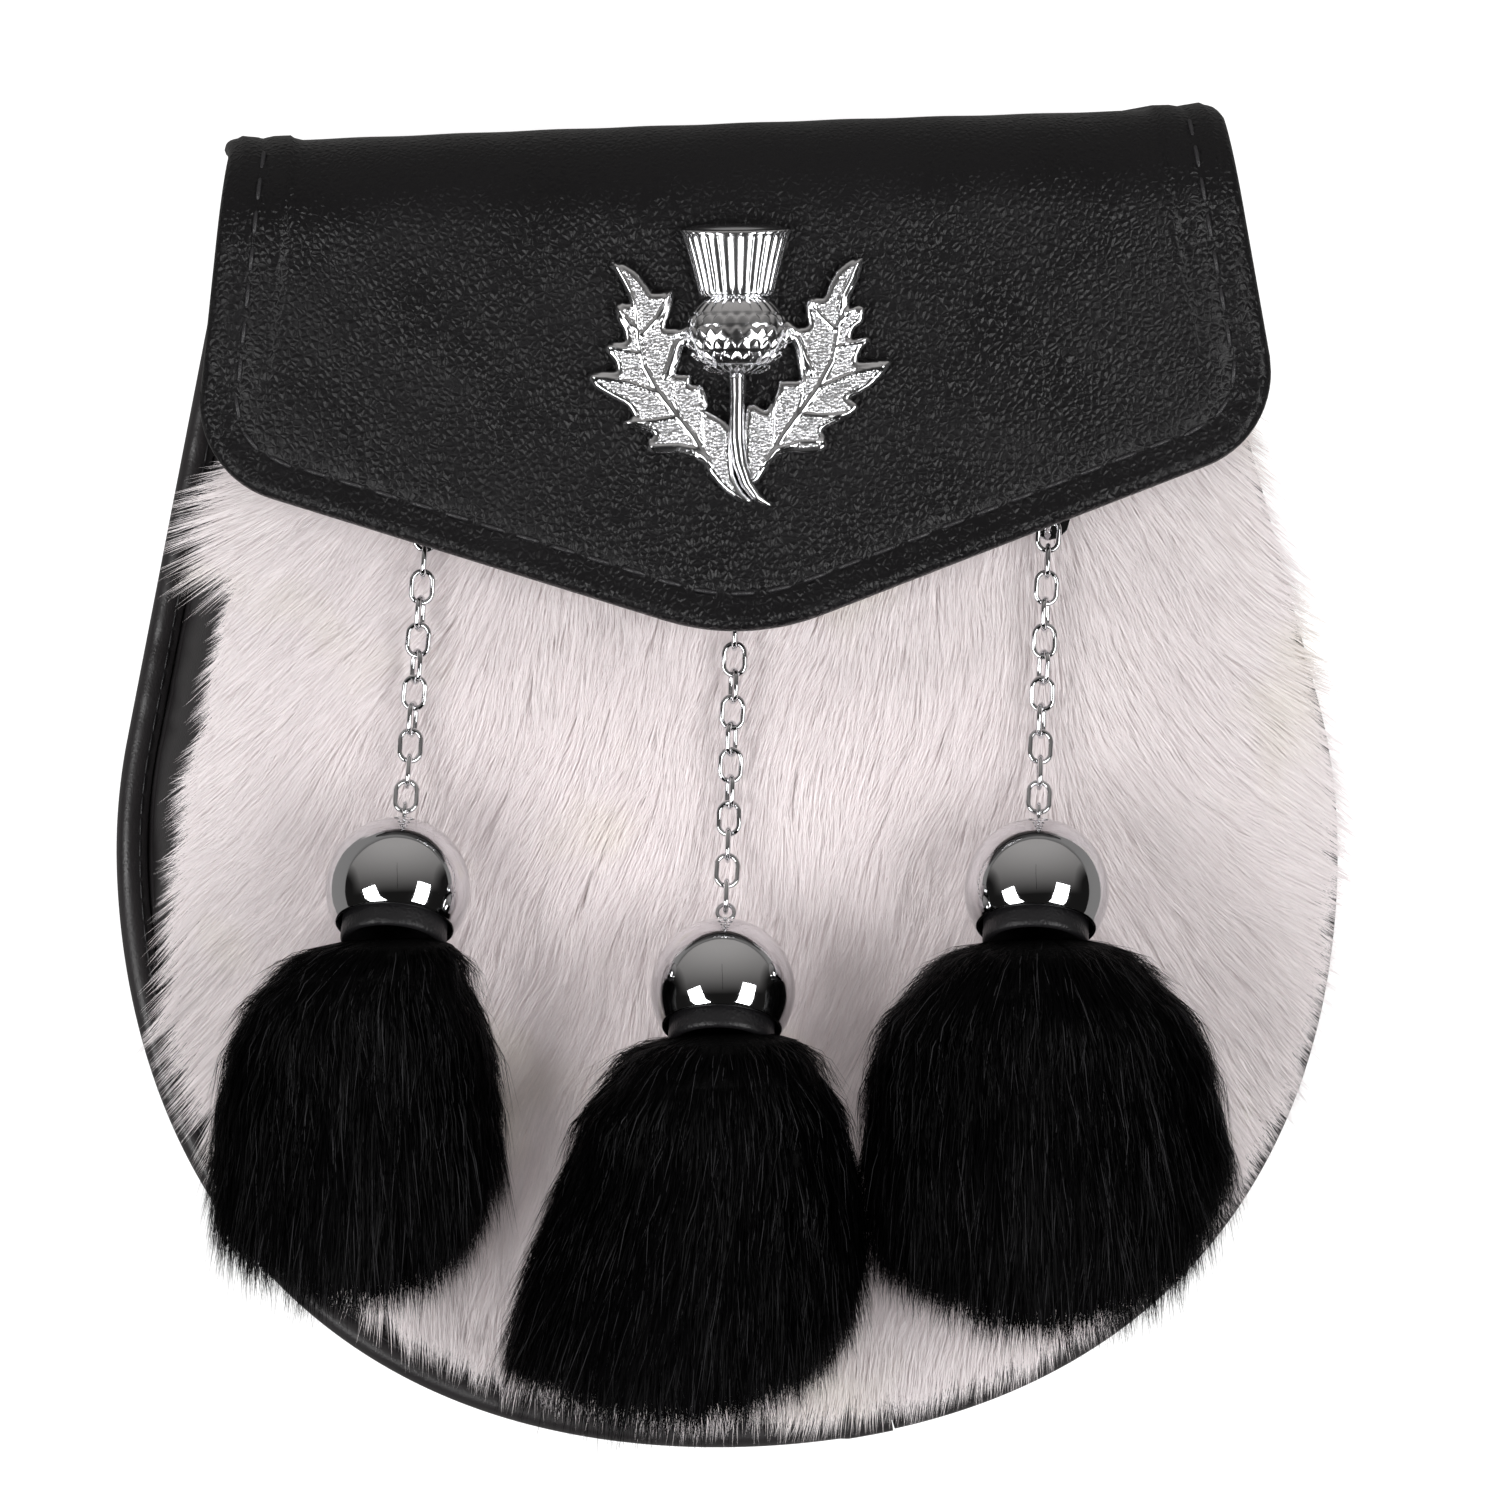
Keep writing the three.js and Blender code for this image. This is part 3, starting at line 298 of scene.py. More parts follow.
# %% Leather finishes
def leather(name, color, roughness, pebble, relief, **sockets):
    """Grained leather. pebble is the size of its grain and relief its depth, in millimetres."""
    material, tree, shader = new_finish(name, color, roughness, **sockets)
    place = node(tree, "ShaderNodeTexCoord").outputs["Object"]
    wander = node(tree, "ShaderNodeTexNoise", {"Vector": place, "Scale": 400, "Detail": 2}).outputs["Color"]
    bent = vectors(tree, "ADD", place, scaled(tree, vectors(tree, "SUBTRACT", wander, (0.5, 0.5, 0.5)), 0.0006 * pebble))
    cells = node(tree, "ShaderNodeTexVoronoi", {"Vector": bent, "Scale": 1000 / pebble}, feature="DISTANCE_TO_EDGE")
    pebbles = node(tree, "ShaderNodeMapRange", {"Value": cells.outputs["Distance"], "From Max": 0.5}, interpolation_type="SMOOTHSTEP")
    fine = node(tree, "ShaderNodeTexNoise", {"Vector": place, "Scale": 2600, "Detail": 3}).outputs["Fac"]
    broad = node(tree, "ShaderNodeTexNoise", {"Vector": place, "Scale": 45, "Detail": 3}).outputs["Fac"]
    height = maths(tree, "ADD", pebbles.outputs["Result"], maths(tree, "MULTIPLY", fine, 0.35))
    bump = node(tree, "ShaderNodeBump", {"Height": height, "Strength": 1, "Distance": 0.001 * relief})
    plug(tree, shader.inputs["Normal"], bump.outputs["Normal"])
    polish = node(tree, "ShaderNodeMapRange", {"Value": broad, "From Min": 0.3, "From Max": 0.7, "To Min": roughness - 0.07, "To Max": roughness + 0.09})
    plug(tree, shader.inputs["Roughness"], polish.outputs["Result"])
    darker, lighter = (*[0.75 * c for c in color], 1), (*[1.3 * c for c in color], 1)
    plug(tree, shader.inputs["Base Color"], mixed(tree, broad, darker, lighter))
    return material


grained = leather("grained_leather", (0.0044, 0.0040, 0.0046), 0.38, 1.1, 0.15, Specular_IOR_Level=0.24)
smooth_hide = leather("smooth_leather", (0.0185, 0.0165, 0.0175), 0.40, 0.7, 0.022, Specular_IOR_Level=0.5)
cuff_hide = leather("cuff_leather", (0.0075, 0.007, 0.008), 0.46, 0.9, 0.05, Specular_IOR_Level=0.35)
print("leather finishes:", grained.name, smooth_hide.name)

# %% [markdown]
# ## Outline of the pouch
#
# Back, binding, gusset and hide all follow one outline: two straight sides that lean in towards the
# mouth and a round below them. One function gives a place on it, moved in by an inset, so every piece
# is a strip or a sheet along the same line.

# %% Outline
round_radius = 97.5
side_lean = math.radians(12)
back_top, hide_top = 104.8, 100
front_shift = 4
pouch_depth = 30
binding_top = 5.7


def fullness(turn):
    """How far the outline stands outside its round: a little at the sides, most at the lower corners."""
    corner = 3.2 * math.sin(2 * turn) ** 2 if math.sin(turn) < 0 else 0
    return lerp(1.5, -0.7, math.sin(turn) ** 2) + corner


def outline_at(along, inset, top):
    """A place on the outline. along runs from the mouth's left end, 0, round to its right end, 3."""
    if 1 < along < 2:
        turn = math.pi - side_lean + (along - 1) * (math.pi + 2 * side_lean)
        radius = round_radius + fullness(turn) - inset
        return radius * math.cos(turn), radius * math.sin(turn)
    share = along if along <= 1 else 3 - along
    full = fullness(side_lean)
    y = lerp(top, (round_radius + full - inset) * math.sin(side_lean), share)
    x = (round_radius + full * share - inset - y * math.sin(side_lean)) / math.cos(side_lean)
    return (-x if along <= 1 else x), y


def stations(start, end, steps):
    """Shares along the outline, evenly spaced over its length."""
    fine = np.linspace(start, end, 600)
    line = np.array([outline_at(a, 0, back_top) for a in fine])
    length = np.concatenate([[0], np.cumsum(np.hypot(*np.diff(line, axis=0).T))])
    return np.interp(np.linspace(0, length[-1], steps + 1), length, fine)


def shift_at(z):
    """How far the soft body carries a place at this height to the right."""
    return front_shift * np.clip((np.asarray(z, float) - binding_top) / (pouch_depth - binding_top), 0, 1)


def strip(name, places, section, top, finish, closed=True):
    """A strip along the outline. section gives its insets and heights at a station."""
    rings = []
    for along in places:
        for inset, z in section(along):
            x, y = outline_at(along, inset, top)
            rings.append((x + float(shift_at(z)), y, z))
    around = len(section(places[0]))
    faces = ring_faces(len(places), around)
    last = (len(places) - 1) * around
    if closed:
        faces += [tuple(range(around))[::-1], tuple(last + i for i in range(around))]
    return turned_outwards(mesh_piece(name, rings, faces, finish))


print("length round the outline:", round(len(stations(0, 3, 10)), 1), "stations tested")

# %% [markdown]
# ## Back panel, binding and gusset
#
# A stiff back is cut to the outline. A soft strip, the gusset, is sewn round it and rises to the hide.
# A narrow leather binding is folded over both, rolled to a smooth cord at the rim and sewn down. The
# binding comes in two lengths, and their ends lap over each other low on the right.

# %% Back panel
def back_panel():
    """The back: a flat leather wall with a softly rounded rim."""
    along = stations(0, 3, 110)
    profile = [(3.4, 0.0), (2.5, 0.0), (1.9, 0.25), (1.65, 0.8), (1.65, 1.4), (1.9, 1.95), (2.5, 2.2), (3.4, 2.2)]
    ring = [[(*outline_at(a, inset, back_top - 0.7 * inset), z) for a in along] for inset, z in profile]
    places = [p for row in ring for p in row]
    faces = ring_faces(len(profile), len(along))
    n = len(along)
    for row, z in ((0, 0.0), (len(profile) - 1, 2.2)):
        places.append((0, 10, z))
        centre = len(places) - 1
        faces += [(row * n + i, row * n + (i + 1) % n, centre) for i in range(n)]
    return turned_outwards(mesh_piece("back_leather", places, faces, grained))


keep(back_panel(), "back_panel", slot="leather")

# %% Binding
seam_along = 1 + (90 + 12 + 14) / (180 + 2 * 12)
lap_along = 9 / (round_radius * (math.pi + 2 * side_lean))
end_gap = 0.3 / (round_radius * (math.pi + 2 * side_lean))
binding_section = [
    (5.0, -1.45), (4.2, -1.6), (3.0, -1.62), (1.9, -1.5), (1.0, -1.1), (0.35, -0.5), (0.04, 0.4), (0.0, 1.6),
    (0.0, 2.9), (0.12, 4.0), (0.5, 4.9), (1.15, 5.55), (2.0, 5.85), (2.9, 5.8), (3.7, 5.45), (4.4, 4.95), (5.0, 4.75),
    (5.15, 4.5), (4.6, 4.35), (3.0, 4.4), (1.6, 4.4), (1.3, 4.0), (1.3, 0.1), (1.6, -0.3), (5.0, -0.3), (5.12, -0.9),
]


def binding(name, start, end, lapped):
    """One length of binding. The lapped length rises over the other at its end."""

    def section(along):
        rise = 1.0 * float(smoothstep(along, end - lap_along, end - 0.8 * lap_along)) if lapped else 0
        soft = 0.12 * math.sin(37 * along) + 0.08 * math.sin(91 * along + 1)
        return [(inset - (0.25 * rise if inset < 1 else 0), z + (rise + soft if z > 4.6 else 0)) for inset, z in binding_section]

    steps = int(150 * (end - start))
    places = list(stations(start, end, steps))
    if lapped:
        places = sorted(places + [end - lap_along * s for s in (1.0, 0.95, 0.9, 0.85, 0.8)])
    return strip(name, places, section, back_top, smooth_hide)


keep(binding("binding_left", 0, seam_along, True), "edge_binding_left", slot="smooth_leather")
keep(binding("binding_right", seam_along + end_gap, 3, False), "edge_binding_right", slot="smooth_leather")

# %% Gusset
wall_foot, wall_head, wall_thick = 6.2, 11.8, 1.6


def gusset_section(along):
    """Insets and heights of the gusset: its sewn foot and its soft, slightly creased wall."""
    outer, inner = [], []
    for share in np.linspace(0, 1, 9):
        inset = lerp(wall_foot, wall_head, share) - 2.4 * math.sin(math.pi * share)
        crease = math.sin(26 * along + 3 * share) * math.sin(61 * along - 2 * share) + 0.5 * math.sin(143 * along + 5 * share)
        inset += 0.32 * crease * math.sin(math.pi * share)
        z = lerp(4.1, 27.7, share)
        outer.append((inset, z))
        inner.append((inset + wall_thick, z))
    foot = [(wall_foot + wall_thick, 2.5), (1.6, 2.5), (1.6, 4.1), (wall_foot - 0.4, 4.1)]
    return foot + outer[1:] + inner[:0:-1] + [(wall_foot + wall_thick, 4.6)]


keep(strip("gusset_leather", stations(0, 3, 260), gusset_section, back_top, smooth_hide), "gusset", slot="smooth_leather")

# %% [markdown]
# ## Stitches
#
# Every seam is a row of short slanted stitches. The line of a seam is a bare string of edges that
# carries the direction out of the leather. Geometry Nodes resample it at the stitch length and set one
# small thread on each place.

# %% Stitch tree
def stitch_blank(name, length, thick):
    """One stitch: a rounded thread that dips at both ends, along X, in millimetres."""
    stops = [(-0.5, -0.55, 0.35), (-0.36, -0.05, 0.9), (0, 0.1, 1.0), (0.36, -0.05, 0.9), (0.5, -0.55, 0.35)]
    places = []
    for along, high, wide in stops:
        for i in range(6):
            turn = math.pi * i / 3
            places.append((along * length, 0.5 * thick * wide * math.cos(turn), thick * high + 0.5 * thick * wide * math.sin(turn)))
    faces = ring_faces(len(stops), 6) + [tuple(range(6))[::-1], tuple(24 + i for i in range(6))]
    mesh = bpy.data.meshes.new(name)
    mesh.from_pydata([tuple(0.001 * c for c in p) for p in places], [], faces)
    mesh.polygons.foreach_set("use_smooth", [True] * len(mesh.polygons))
    return bpy.data.objects.new(name, mesh)


def field(tree, name, kind="FLOAT_VECTOR"):
    """Reads a named attribute of the mesh."""
    made = node(tree, "GeometryNodeInputNamedAttribute", {"Name": name}, data_type=kind)
    return next(o for o in made.outputs if o.enabled and o.name == "Attribute")


def store(tree, geometry, name, value, kind="FLOAT_VECTOR"):
    """Writes a named attribute on every point."""
    made = node(tree, "GeometryNodeStoreNamedAttribute", {"Geometry": geometry, "Name": name}, data_type=kind, domain="POINT")
    plug(tree, next(i for i in made.inputs if i.enabled and i.name == "Value"), value)
    return made.outputs["Geometry"]


def new_tree(name, **inputs):
    """A Geometry Nodes tree with one geometry input and named inputs: floats, ints, objects, materials."""
    tree = bpy.data.node_groups.new(name, "GeometryNodeTree")
    tree.interface.new_socket("Geometry", in_out="INPUT", socket_type="NodeSocketGeometry")
    tree.interface.new_socket("Geometry", in_out="OUTPUT", socket_type="NodeSocketGeometry")
    for key, kind in inputs.items():
        tree.interface.new_socket(key, in_out="INPUT", socket_type="NodeSocket" + kind)
    return tree, node(tree, "NodeGroupInput").outputs, node(tree, "NodeGroupOutput").inputs["Geometry"]


def grown(name, base, tree, **values):
    """The plain mesh that a tree makes from a base object, which is then deleted."""
    modifier = base.modifiers.new("tree", "NODES")
    modifier.node_group = tree
    for item in tree.interface.items_tree:
        if item.in_out == "INPUT" and item.name in values:
            modifier[item.identifier] = values[item.name]
    evaluated = base.evaluated_get(bpy.context.evaluated_depsgraph_get())
    mesh = bpy.data.meshes.new_from_object(evaluated)
    base.modifiers.remove(modifier)
    bpy.data.objects.remove(base)
    mesh.name = name
    piece = bpy.data.objects.new(name, mesh)
    bpy.context.scene.collection.objects.link(piece)
    return piece


def finished(tree, geometry, material, out):
    """The end of each tree: real meshes with a finish."""
    real = node(tree, "GeometryNodeRealizeInstances", {"Geometry": geometry}).outputs["Geometry"]
    plug(tree, out, node(tree, "GeometryNodeSetMaterial", {"Geometry": real, "Material": material}).outputs["Geometry"])


stitches, given, made = new_tree("stitches", Pitch="Float", Slant="Float", Thread="Object", Finish="Material")
line = node(stitches, "GeometryNodeMeshToCurve", {"Mesh": given["Geometry"]}).outputs["Curve"]
evenly = node(stitches, "GeometryNodeResampleCurve", {"Curve": line, "Length": given["Pitch"]}, mode="LENGTH")
tangent = node(stitches, "GeometryNodeInputTangent").outputs["Tangent"]
side = vectors(stitches, "CROSS_PRODUCT", field(stitches, "outwards"), tangent)
slanted = vectors(stitches, "ADD", tangent, scaled(stitches, side, given["Slant"]))
run = node(stitches, "FunctionNodeAlignRotationToVector", {"Vector": slanted}, axis="X").outputs["Rotation"]
stand = node(stitches, "FunctionNodeAlignRotationToVector", {"Rotation": run, "Vector": field(stitches, "outwards")}, axis="Z", pivot_axis="X").outputs["Rotation"]
thread = node(stitches, "GeometryNodeObjectInfo", {"Object": given["Thread"]}).outputs["Geometry"]
each = node(stitches, "GeometryNodeInstanceOnPoints", {"Points": evenly.outputs["Curve"], "Instance": thread, "Rotation": stand})
finished(stitches, each.outputs["Instances"], given["Finish"], made)


def seam(name, line, outwards, pitch, length, thick, finish, slant=0.0):
    """A row of stitches along a line of places in the pouch's frame."""
    mesh = bpy.data.meshes.new(name)
    mesh.from_pydata([tuple(p) for p in to_row(line)], [(i, i + 1) for i in range(len(line) - 1)], [])
    across = mesh.attributes.new("outwards", "FLOAT_VECTOR", "POINT")
    across.data.foreach_set("vector", (np.asarray(outwards, float) @ axes).ravel())
    base = bpy.data.objects.new(name + "_line", mesh)
    bpy.context.scene.collection.objects.link(base)
    return grown(name, base, stitches, Pitch=0.001 * pitch, Slant=slant, Thread=stitch_blank(name + "_stitch", length, thick), Finish=finish)


thread_black, thread_tree, thread_shader = new_finish("black_thread", (0.020, 0.019, 0.021), 0.40)
thread_place = node(thread_tree, "ShaderNodeTexCoord").outputs["Object"]
thread_wave = node(thread_tree, "ShaderNodeTexNoise", {"Vector": thread_place, "Scale": 4200, "Detail": 1}).outputs["Fac"]
thread_bump = node(thread_tree, "ShaderNodeBump", {"Height": thread_wave, "Distance": 0.0001})
plug(thread_tree, thread_shader.inputs["Normal"], thread_bump.outputs["Normal"])

rim_line = [(*outline_at(a, 4.0, back_top), 5.4) for a in stations(0.01, 2.99, 300)]
keep(seam("stitches_binding", rim_line, [(0, 0, 1)] * len(rim_line), 3.4, 3.3, 0.34, thread_black), slot="smooth_leather")

# %% [markdown]
# ## Fur
#
# The front is a hide of short white fur, and the tassels are of longer black fur. Real fur has millions
# of hairs, so each strand here stands for a small bunch: a flat blade of three triangles that tapers to a
# point. One Geometry Nodes tree grows both furs. It scatters roots over a skin that carries the combing
# direction, gathers tips into soft clumps and bends each blade along its run.

# %% Strand blank
def strand_blank(name):
    """One strand as a flat tapered blade. Its shape is left to the tree, which reads these shares."""
    stops = [(0.0, 0.85), (0.52, 1.0)]
    along = [s for s, _ in stops for _ in (0, 1)] + [1.0]
    across = [side * w for _, w in stops for side in (-1, 1)] + [0.0]
    mesh = bpy.data.meshes.new(name)
    mesh.from_pydata([(0.001 * a, 0, 0.001 * s) for s, a in zip(along, across)], [], [(0, 1, 3, 2), (2, 3, 4)])
    for key, values in (("along", along), ("across", across)):
        mesh.attributes.new(key, "FLOAT", "POINT").data.foreach_set("value", values)
    mesh.polygons.foreach_set("use_smooth", [True] * 2)
    return bpy.data.objects.new(name, mesh)


strand = strand_blank("strand_blank")

# %% Strand tree
fur_tree, given, made = new_tree(
    "fur_strands", Density="Float", Length="Float", Width="Float", Lift="Float", Clump="Float", Gather="Float",
    Wander="Float", Stray="Float", Seed="Int", Strand="Object", Finish="Material",
)


def random(tree, seed, low, high, vector=False):
    """A random number or vector for each strand."""
    kind = "FLOAT_VECTOR" if vector else "FLOAT"
    made = node(tree, "FunctionNodeRandomValue", data_type=kind)
    sockets = {i.name: i for i in made.inputs if i.enabled}
    plug(tree, sockets["Min"], low)
    plug(tree, sockets["Max"], high)
    plug(tree, sockets["Seed"], seed)
    return next(o for o in made.outputs if o.enabled)


thick = maths(fur_tree, "MULTIPLY", given["Density"], field(fur_tree, "thick", "FLOAT"))
roots = node(fur_tree, "GeometryNodeDistributePointsOnFaces", {"Mesh": given["Geometry"], "Density": thick, "Seed": given["Seed"]})
place = node(fur_tree, "GeometryNodeInputPosition").outputs["Position"]
few_long = maths(fur_tree, "MULTIPLY_ADD", maths(fur_tree, "POWER", random(fur_tree, 3, 0.0, 1.0), 3.0), 0.56, 0.78)
length = maths(fur_tree, "MULTIPLY", maths(fur_tree, "MULTIPLY", given["Length"], field(fur_tree, "reach", "FLOAT")), few_long)
clump = node(fur_tree, "ShaderNodeTexVoronoi", {"Vector": place, "Scale": given["Clump"]})
pull = scaled(fur_tree, vectors(fur_tree, "SUBTRACT", clump.outputs["Position"], place), given["Gather"])
drift = node(fur_tree, "ShaderNodeTexNoise", {"Vector": place, "Scale": 130.0, "Detail": 2.0}).outputs["Color"]
wander = scaled(fur_tree, vectors(fur_tree, "SUBTRACT", drift, (0.5, 0.5, 0.5)), given["Wander"])
jitter = scaled(fur_tree, random(fur_tree, 5, (-1, -1, -1), (1, 1, 1), vector=True), given["Stray"])
points = store(fur_tree, roots.outputs["Points"], "root", place)
points = store(fur_tree, points, "run", scaled(fur_tree, field(fur_tree, "comb"), length))
points = store(fur_tree, points, "stray", vectors(fur_tree, "ADD", pull, vectors(fur_tree, "ADD", wander, jitter)))
points = store(fur_tree, points, "roll", random(fur_tree, 7, -0.5, 0.5), "FLOAT")
points = store(fur_tree, points, "tone", random(fur_tree, 9, 0.0, 1.0), "FLOAT")
blade = node(fur_tree, "GeometryNodeObjectInfo", {"Object": given["Strand"]}).outputs["Geometry"]
scattered = node(fur_tree, "GeometryNodeInstanceOnPoints", {"Points": points, "Instance": blade}).outputs["Instances"]
strands = node(fur_tree, "GeometryNodeRealizeInstances", {"Geometry": scattered}).outputs["Geometry"]
along, across = field(fur_tree, "along", "FLOAT"), field(fur_tree, "across", "FLOAT")
root, upwards, run = field(fur_tree, "root"), field(fur_tree, "rise"), field(fur_tree, "run")
reach = node(fur_tree, "ShaderNodeVectorMath", {0: run}, operation="LENGTH").outputs["Value"]
bow = maths(fur_tree, "MULTIPLY", along, maths(fur_tree, "SUBTRACT", 1.0, maths(fur_tree, "MULTIPLY", along, field(fur_tree, "bow", "FLOAT"))))
lift = scaled(fur_tree, upwards, maths(fur_tree, "MULTIPLY", maths(fur_tree, "MULTIPLY", bow, given["Lift"]), reach))
late = maths(fur_tree, "POWER", along, 1.6)
flat_side = node(fur_tree, "ShaderNodeVectorMath", {0: vectors(fur_tree, "CROSS_PRODUCT", run, upwards)}, operation="NORMALIZE").outputs[0]
roll = field(fur_tree, "roll", "FLOAT")
wide = vectors(
    fur_tree, "ADD", scaled(fur_tree, flat_side, maths(fur_tree, "COSINE", roll)), scaled(fur_tree, upwards, maths(fur_tree, "SINE", roll))
)
spot = vectors(fur_tree, "ADD", root, scaled(fur_tree, run, along))
spot = vectors(fur_tree, "ADD", spot, lift)
spot = vectors(fur_tree, "ADD", spot, scaled(fur_tree, field(fur_tree, "stray"), late))
spot = vectors(fur_tree, "ADD", spot, scaled(fur_tree, field(fur_tree, "droop"), maths(fur_tree, "MULTIPLY", along, along)))
half_width = maths(fur_tree, "MULTIPLY", across, maths(fur_tree, "MULTIPLY", given["Width"], 0.5))
spot = vectors(fur_tree, "ADD", spot, scaled(fur_tree, wide, half_width))
bent = node(fur_tree, "GeometryNodeSetPosition", {"Geometry": strands, "Position": spot}).outputs["Geometry"]
for name in ("root", "rise", "run", "stray", "roll", "comb", "droop", "bow", "across", "thick", "reach"):
    bent = node(fur_tree, "GeometryNodeRemoveAttribute", {"Geometry": bent, "Name": name}).outputs["Geometry"]
finished(fur_tree, bent, given["Finish"], made)


def fur_skin(name, places, faces, **carried):
    """A skin for the tree. carried holds what each place carries: rise, comb, reach, thick, droop, bow."""
    base = mesh_piece(name, places, faces)
    for key, values in carried.items():
        values = np.asarray(values, float)
        if values.ndim == 2:
            base.data.attributes.new(key, "FLOAT_VECTOR", "POINT").data.foreach_set("vector", (values @ axes).ravel())
        else:
            base.data.attributes.new(key, "FLOAT", "POINT").data.foreach_set("value", values)
    return base


def fur(name, base, amount, **values):
    """Grows about this many strands on a skin. The skin's thick attribute shares them out."""
    mesh = base.data
    thick = np.empty(len(mesh.vertices))
    mesh.attributes["thick"].data.foreach_get("value", thick)
    area = sum(p.area * thick[list(p.vertices)].mean() for p in mesh.polygons)
    share = 1
    return grown(name, base, fur_tree, Density=share * amount / area, Strand=strand, **values)


# %% Fur finishes
def fur_finish(name, root, tip, roughness, stain=None, glint=None, **sockets):
    """Hair that changes from its root colour to its tip colour. Each strand has its own tone. A few soft patches take a
    stain, a few strands end in a painted glint of lighter colour, and painted shade darkens the colour away from the
    pouch's middle."""
    material, tree, shader = new_finish(name, tip, roughness, **sockets)
    along = node(tree, "ShaderNodeAttribute", attribute_name="along").outputs["Fac"]
    tone = node(tree, "ShaderNodeAttribute", attribute_name="tone").outputs["Fac"]
    color = mixed(tree, maths(tree, "POWER", along, 0.7), (*root, 1), (*tip, 1))
    place = node(tree, "ShaderNodeTexCoord").outputs["Object"]
    patch = node(tree, "ShaderNodeTexNoise", {"Vector": place, "Scale": 38.0, "Detail": 2.0}).outputs["Fac"]
    stained = node(tree, "ShaderNodeMapRange", {"Value": patch, "From Min": 0.55, "From Max": 0.75}).outputs["Result"]
    color = mixed(tree, stained, color, (*stain, 1)) if stain else color
    # Painted highlight: about one strand in fourteen gets a lighter colour towards its tip, for light caught on the
    # hair.
    few = maths(tree, "MULTIPLY", maths(tree, "GREATER_THAN", tone, 0.93), along)
    color = mixed(tree, few, color, (*glint, 1)) if glint else color
    shade = node(tree, "ShaderNodeMapRange", {"Value": tone, "To Min": 0.93, "To Max": 1.03}).outputs["Result"]
    # Painted shade: the colour darkens by up to 13 per cent between 45 mm and 100 mm from the middle, so the fur looks
    # shaded towards its sides.
    from_middle = node(tree, "ShaderNodeVectorMath", {0: place}, operation="LENGTH").outputs["Value"]
    painted_edge_shade = node(tree, "ShaderNodeMapRange", {"Value": from_middle, "From Min": 0.045, "From Max": 0.10, "To Min": 1.0, "To Max": 0.87}).outputs["Result"]
    shade = maths(tree, "MULTIPLY", shade, painted_edge_shade)
    plug(tree, shader.inputs["Base Color"], vectors(tree, "MULTIPLY", color, node(tree, "ShaderNodeCombineXYZ", {0: shade, 1: shade, 2: shade}).outputs[0]))
    return material, tree, shader


# The white fur glows faintly (emission 0.07): painted light that lifts the shade between its strands.
white_fur, _, _ = fur_finish(
    "white_fur", (0.84, 0.775, 0.77), (0.925, 0.872, 0.88), 0.6, stain=(0.86, 0.81, 0.755), Specular_IOR_Level=0.25, Emission_Color=(1.0, 0.93, 0.94, 1),
    Emission_Strength=0.07,
)
black_fur, _, _ = fur_finish("black_fur", (0.0007, 0.0007, 0.0007), (0.0016, 0.0015, 0.0018), 0.32, glint=(0.045, 0.044, 0.047), Specular_IOR_Level=0.03)
print("furs:", white_fur.name, black_fur.name)

# %% [markdown]
# The hide is one sheet, crowned in the middle. Its hair was combed down from the flap and lies
# differently everywhere: to the lower left beside the left chain, down in the middle, and out to the
# right with a parting at the right chain. The combing angle is therefore a formula of the place. Hair
# under the flap and the tassels is thin, because nobody sees it.

# %% Hide
hide_inset = 11
hide_radius = round_radius - hide_inset


def skin_face(x, y):
    """Height of the hide's skin at a place."""
    high = np.where(y > 0, 0.6 * y, y)
    share = ((x - front_shift) ** 2 + high**2) / hide_radius**2
    return pouch_depth + 4 * np.maximum(0, 1 - share)


def flap_edge(x):
    """Height of the flap's lower edge at a place, without its round corners."""
    return 32.6 + np.abs(x - front_shift) * math.tan(math.radians(19.25))


def hide_grid(rings, steps):
    """Places of the hide from its middle to its rim, with their share of the way out."""
    rim = [outline_at(a, hide_inset, hide_top) for a in stations(0, 3, steps)]
    left, right = rim[0], rim[-1]
    rim += [(lerp(right[0], left[0], s), hide_top) for s in np.linspace(0, 1, 26)[1:-1]]
    rim = np.array(rim)
    shares = [0.0, *np.linspace(0.002, 1, rings) ** 0.85]
    return rim, np.array([(s * x + front_shift, lerp(8, y, s), s) for s in shares[1:] for x, y in rim])


rim, grid = hide_grid(34, 150)
around = len(rim)
hide_x, hide_y, out_share = grid.T
hide_z = skin_face(hide_x, hide_y)
hide_faces = ring_faces(34, around) + [tuple(range(around))[::-1]]


def hide_leather():
    """The hide below its hair: a white skin with a wall down to the gusset's head."""
    lumps = 0.25 * np.sin(hide_x * 0.9 + 2 * np.sin(hide_y * 0.3)) * np.sin(hide_y * 0.8)
    top = np.column_stack([hide_x, hide_y, hide_z + lumps * (out_share < 0.99)])
    rows = [np.column_stack([lerp(front_shift, rim[:, 0] + front_shift, s), lerp(8, rim[:, 1], s), np.full(around, z)])
            for s, z in ((1.006, 29.2), (1.0, 28.0), (0.9, 28.0))]
    places = np.vstack([top, *rows])
    faces = ring_faces(34 + 3, around) + [tuple(range(around))[::-1], tuple(36 * around + i for i in range(around))]
    return turned_outwards(mesh_piece("hide_skin", places, faces, white_under))


white_under, under_tree, under_shader = new_finish("white_underfur", (0.80, 0.75, 0.72), 0.8)
under_place = node(under_tree, "ShaderNodeTexCoord").outputs["Object"]
under_wool = node(under_tree, "ShaderNodeTexNoise", {"Vector": under_place, "Scale": 700, "Detail": 4}).outputs["Fac"]
plug(under_tree, under_shader.inputs["Base Color"], mixed(under_tree, under_wool, (0.55, 0.51, 0.48, 1), (0.88, 0.84, 0.82, 1)))
under_bump = node(under_tree, "ShaderNodeBump", {"Height": under_wool, "Distance": 0.0006})
plug(under_tree, under_shader.inputs["Normal"], under_bump.outputs["Normal"])
keep(hide_leather(), "fur_front", slot="white_fur")

